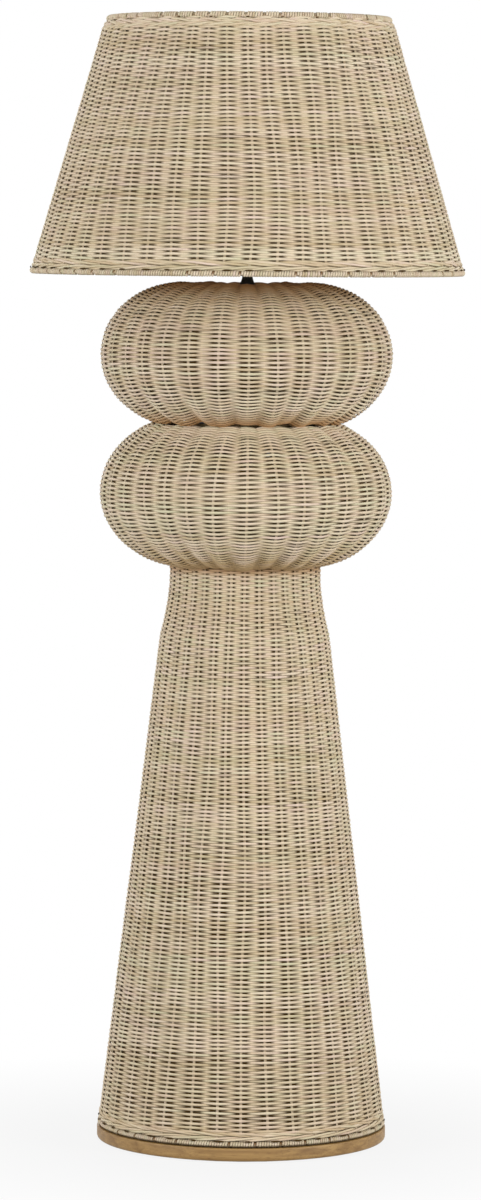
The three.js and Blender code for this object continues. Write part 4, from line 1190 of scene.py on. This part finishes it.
def make_shade_frame():
    """Wire rings in both rims, uprights between them, and a spider whose arms drop from the top ring."""
    rings = {}
    for place in ("top", "bottom"):
        node = f"shade_{place}_ring"
        low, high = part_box(node)
        rings[place] = high[0] - RING_RADIUS
        path = around(rings[place], whole_turn(160), (low[2] + high[2]) / 2)
        wire(node, "shade", path, [0, 0, 1], RING_RADIUS, closed=True)
    ring = rings["top"]
    for i in range(UPRIGHTS):
        node = f"shade_upright_{i + 1}"
        low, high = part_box(node)
        turn = (i + 0.5) * TURN / UPRIGHTS + FRONT
        outward = around(1, turn, 0)
        axis = np.argmax(np.abs(outward))
        foot = (max(high[axis], -low[axis]) - RING_RADIUS) / abs(outward[axis])
        ends = [low[2] + RING_RADIUS / 2, high[2] - RING_RADIUS / 2]
        wire(node, "shade", around([foot, ring], turn, ends), around(1, turn + BACK, 0), RING_RADIUS)
    bottom, top, _ = span("shade_spider")
    hub = disc(HUB_HOLE, HUB_RADIUS, bottom, bottom + HUB_THICKNESS)
    turned("shade_spider", "shade", hub, closed=True, part="_hub")
    level = bottom + WIRE_RADIUS
    rise = top - 2 * WIRE_RADIUS - level
    arm = [[HUB_RADIUS - WIRE_RADIUS, level], [ring - rise, level], [ring, level + rise], [ring, top]]
    reach, height = rounded(arm, SPIDER_ROUND, 8).T
    for i in range(SPIDER_ARMS):
        turn = TURN * i / SPIDER_ARMS + FRONT
        path, normal = around(reach, turn, height), around(1, turn + BACK, 0)
        wire("shade_spider", "shade", path, normal, WIRE_RADIUS, part=f"_arm_{i + 1}")


def make_finial():
    """A ball on a waisted collar, with a blind hole for the stud."""
    bottom, top, _ = span("finial")
    hole = STUD_RADIUS + FIT_GAP
    ceiling = min(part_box("harp")[1][2] + FIT_GAP, top - FINIAL_ROOF)
    ball = FINIAL_BALL_RADIUS
    globe = arc([0, top - ball], [ball, ball], -math.acos(FINIAL_WAIST_RADIUS / ball), BACK, 24)
    rim, brim = FINIAL_COLLAR_RADIUS, bottom + FINIAL_COLLAR_HEIGHT
    collar = rounded([[hole, bottom], [rim, bottom], [rim, brim], globe[0]], 0.8 * MM)
    turned("finial", "finial", [[0, ceiling], [hole, ceiling], *collar, *globe[1:-1], [0, top]])


def make_finishes():
    """A procedural material for each slot of the record."""
    return {
        "oak": oak_finish("oak"),
        "pole": matte_finish("raw_pole", linear(168, 134, 88), linear(205, 175, 130), 0.6, 300.0),
        "plywood": matte_finish("raw_plywood", linear(160, 128, 84), linear(196, 164, 118), 0.7, 200.0),
        "felt": matte_finish("felt", linear(34, 33, 31), linear(60, 58, 55), 0.95, 900.0),
        "cast_iron": matte_finish("cast_iron", linear(44, 44, 46), linear(72, 72, 74), 0.65, 250.0),
        "steel": metal_finish("plated_steel", linear(150, 152, 156), linear(196, 198, 202), 0.3),
        "black_metal": black_metal_finish("satin_black_paint"),
        "brass": metal_finish("brass", linear(170, 128, 62), linear(210, 170, 98), 0.25),
        "phenolic": matte_finish("phenolic", linear(22, 19, 17), linear(38, 33, 30), 0.4, 150.0),
        "rubber": matte_finish("rubber", linear(24, 24, 24), linear(42, 42, 42), 0.75, 400.0),
        "frosted_glass": glass_finish("frosted_glass"),
        "rattan": rattan_finish("peeled_cane"),
    }


def dress_nodes():
    """Gives every CAD node that stays the material of its slot."""
    for name, kind in SLOTS.items():
        node = bpy.data.objects.get(name)
        if node is None:
            continue
        node.data.materials.clear()
        node.data.materials.append(FINISHES[kind])


def make_camera():
    """The photograph's view: its focal length as a lens, pitched down and rolled a little."""
    data = bpy.data.cameras.new("camera")
    data.sensor_width = SENSOR
    data.lens = FOCAL_PIXELS * SENSOR / PHOTO_HEIGHT
    data.clip_end = CAMERA_REACH
    camera = placed("camera", data)
    camera.location = (CAMERA_ASIDE, -CAMERA_DISTANCE, CAMERA_HEIGHT)
    camera.rotation_mode = "QUATERNION"
    level = Quaternion((1, 0, 0), math.pi / 2 - CAMERA_PITCH)
    camera.rotation_quaternion = level @ Quaternion((0, 0, 1), CAMERA_ROLL)
    bpy.context.scene.camera = camera


def make_lamps():
    """Round soft lights, each turned to one point on the lamp's axis."""
    for name, (place, power) in LAMPS.items():
        data = bpy.data.lights.new(name, "AREA")
        data.shape = "DISK"
        data.size = LAMP_SIZE
        data.energy = power
        lamp = placed(name, data)
        lamp.location = place
        lamp.rotation_euler = (Vector(LAMP_TARGET) - Vector(place)).to_track_quat("-Z", "Y").to_euler()


def make_floor():
    """A pale floor that keeps the lamp's shadow and fades to plain white for the camera."""
    paint = Finish("pale_floor")
    at = paint.node("ShaderNodeTexCoord", out="Object")
    away = paint.node("ShaderNodeVectorMath", {0: at}, "Value", operation="LENGTH")
    fade = ((away - FLOOR_FADE_START) / FLOOR_FADE_REACH).clamped()
    share = paint.in_view() * (FLOOR_WHITE + (1 - FLOOR_WHITE) * fade)
    matte = paint.node("ShaderNodeBsdfDiffuse", {"Color": FLOOR_COLOUR})
    white = paint.node("ShaderNodeEmission", {"Color": WHITE, "Strength": 1.0})
    shown = paint.node("ShaderNodeMixShader", {0: share, 1: matte, 2: white})
    paint.node("ShaderNodeOutputMaterial", {"Surface": shown})
    x = y = FLOOR_REACH
    corners = [(-x, -y, 0), (x, -y, 0), (x, y, 0), (-x, y, 0)]
    floor = mesh_object("floor", corners, [[(0, 1, 2, 3)]], paint.holder)


def make_world():
    """A soft white light from all sides, in front of a plain white background."""
    studio = Finish("studio", "worlds")
    bpy.context.scene.world = studio.holder
    ambient = studio.node("ShaderNodeBackground", {"Color": WHITE, "Strength": AMBIENT})
    plain = studio.node("ShaderNodeBackground", {"Color": WHITE})
    shown = studio.node("ShaderNodeMixShader", {0: studio.in_view(), 1: ambient, 2: plain})
    studio.node("ShaderNodeOutputWorld", {"Surface": shown})


SLOTS = {row["node"]: row["material_slot"] for row in frame["record"]["subparts"]}
FINISHES = make_finishes()

make_camera()
make_base()
make_column()
make_gourds()
make_neck_cap()
make_harp()
make_socket()
make_bulb()
make_shade()
make_shade_frame()
make_finial()
dress_nodes()
make_floor()
make_world()
make_lamps()
bpy.context.scene.view_settings.view_transform = "Standard"
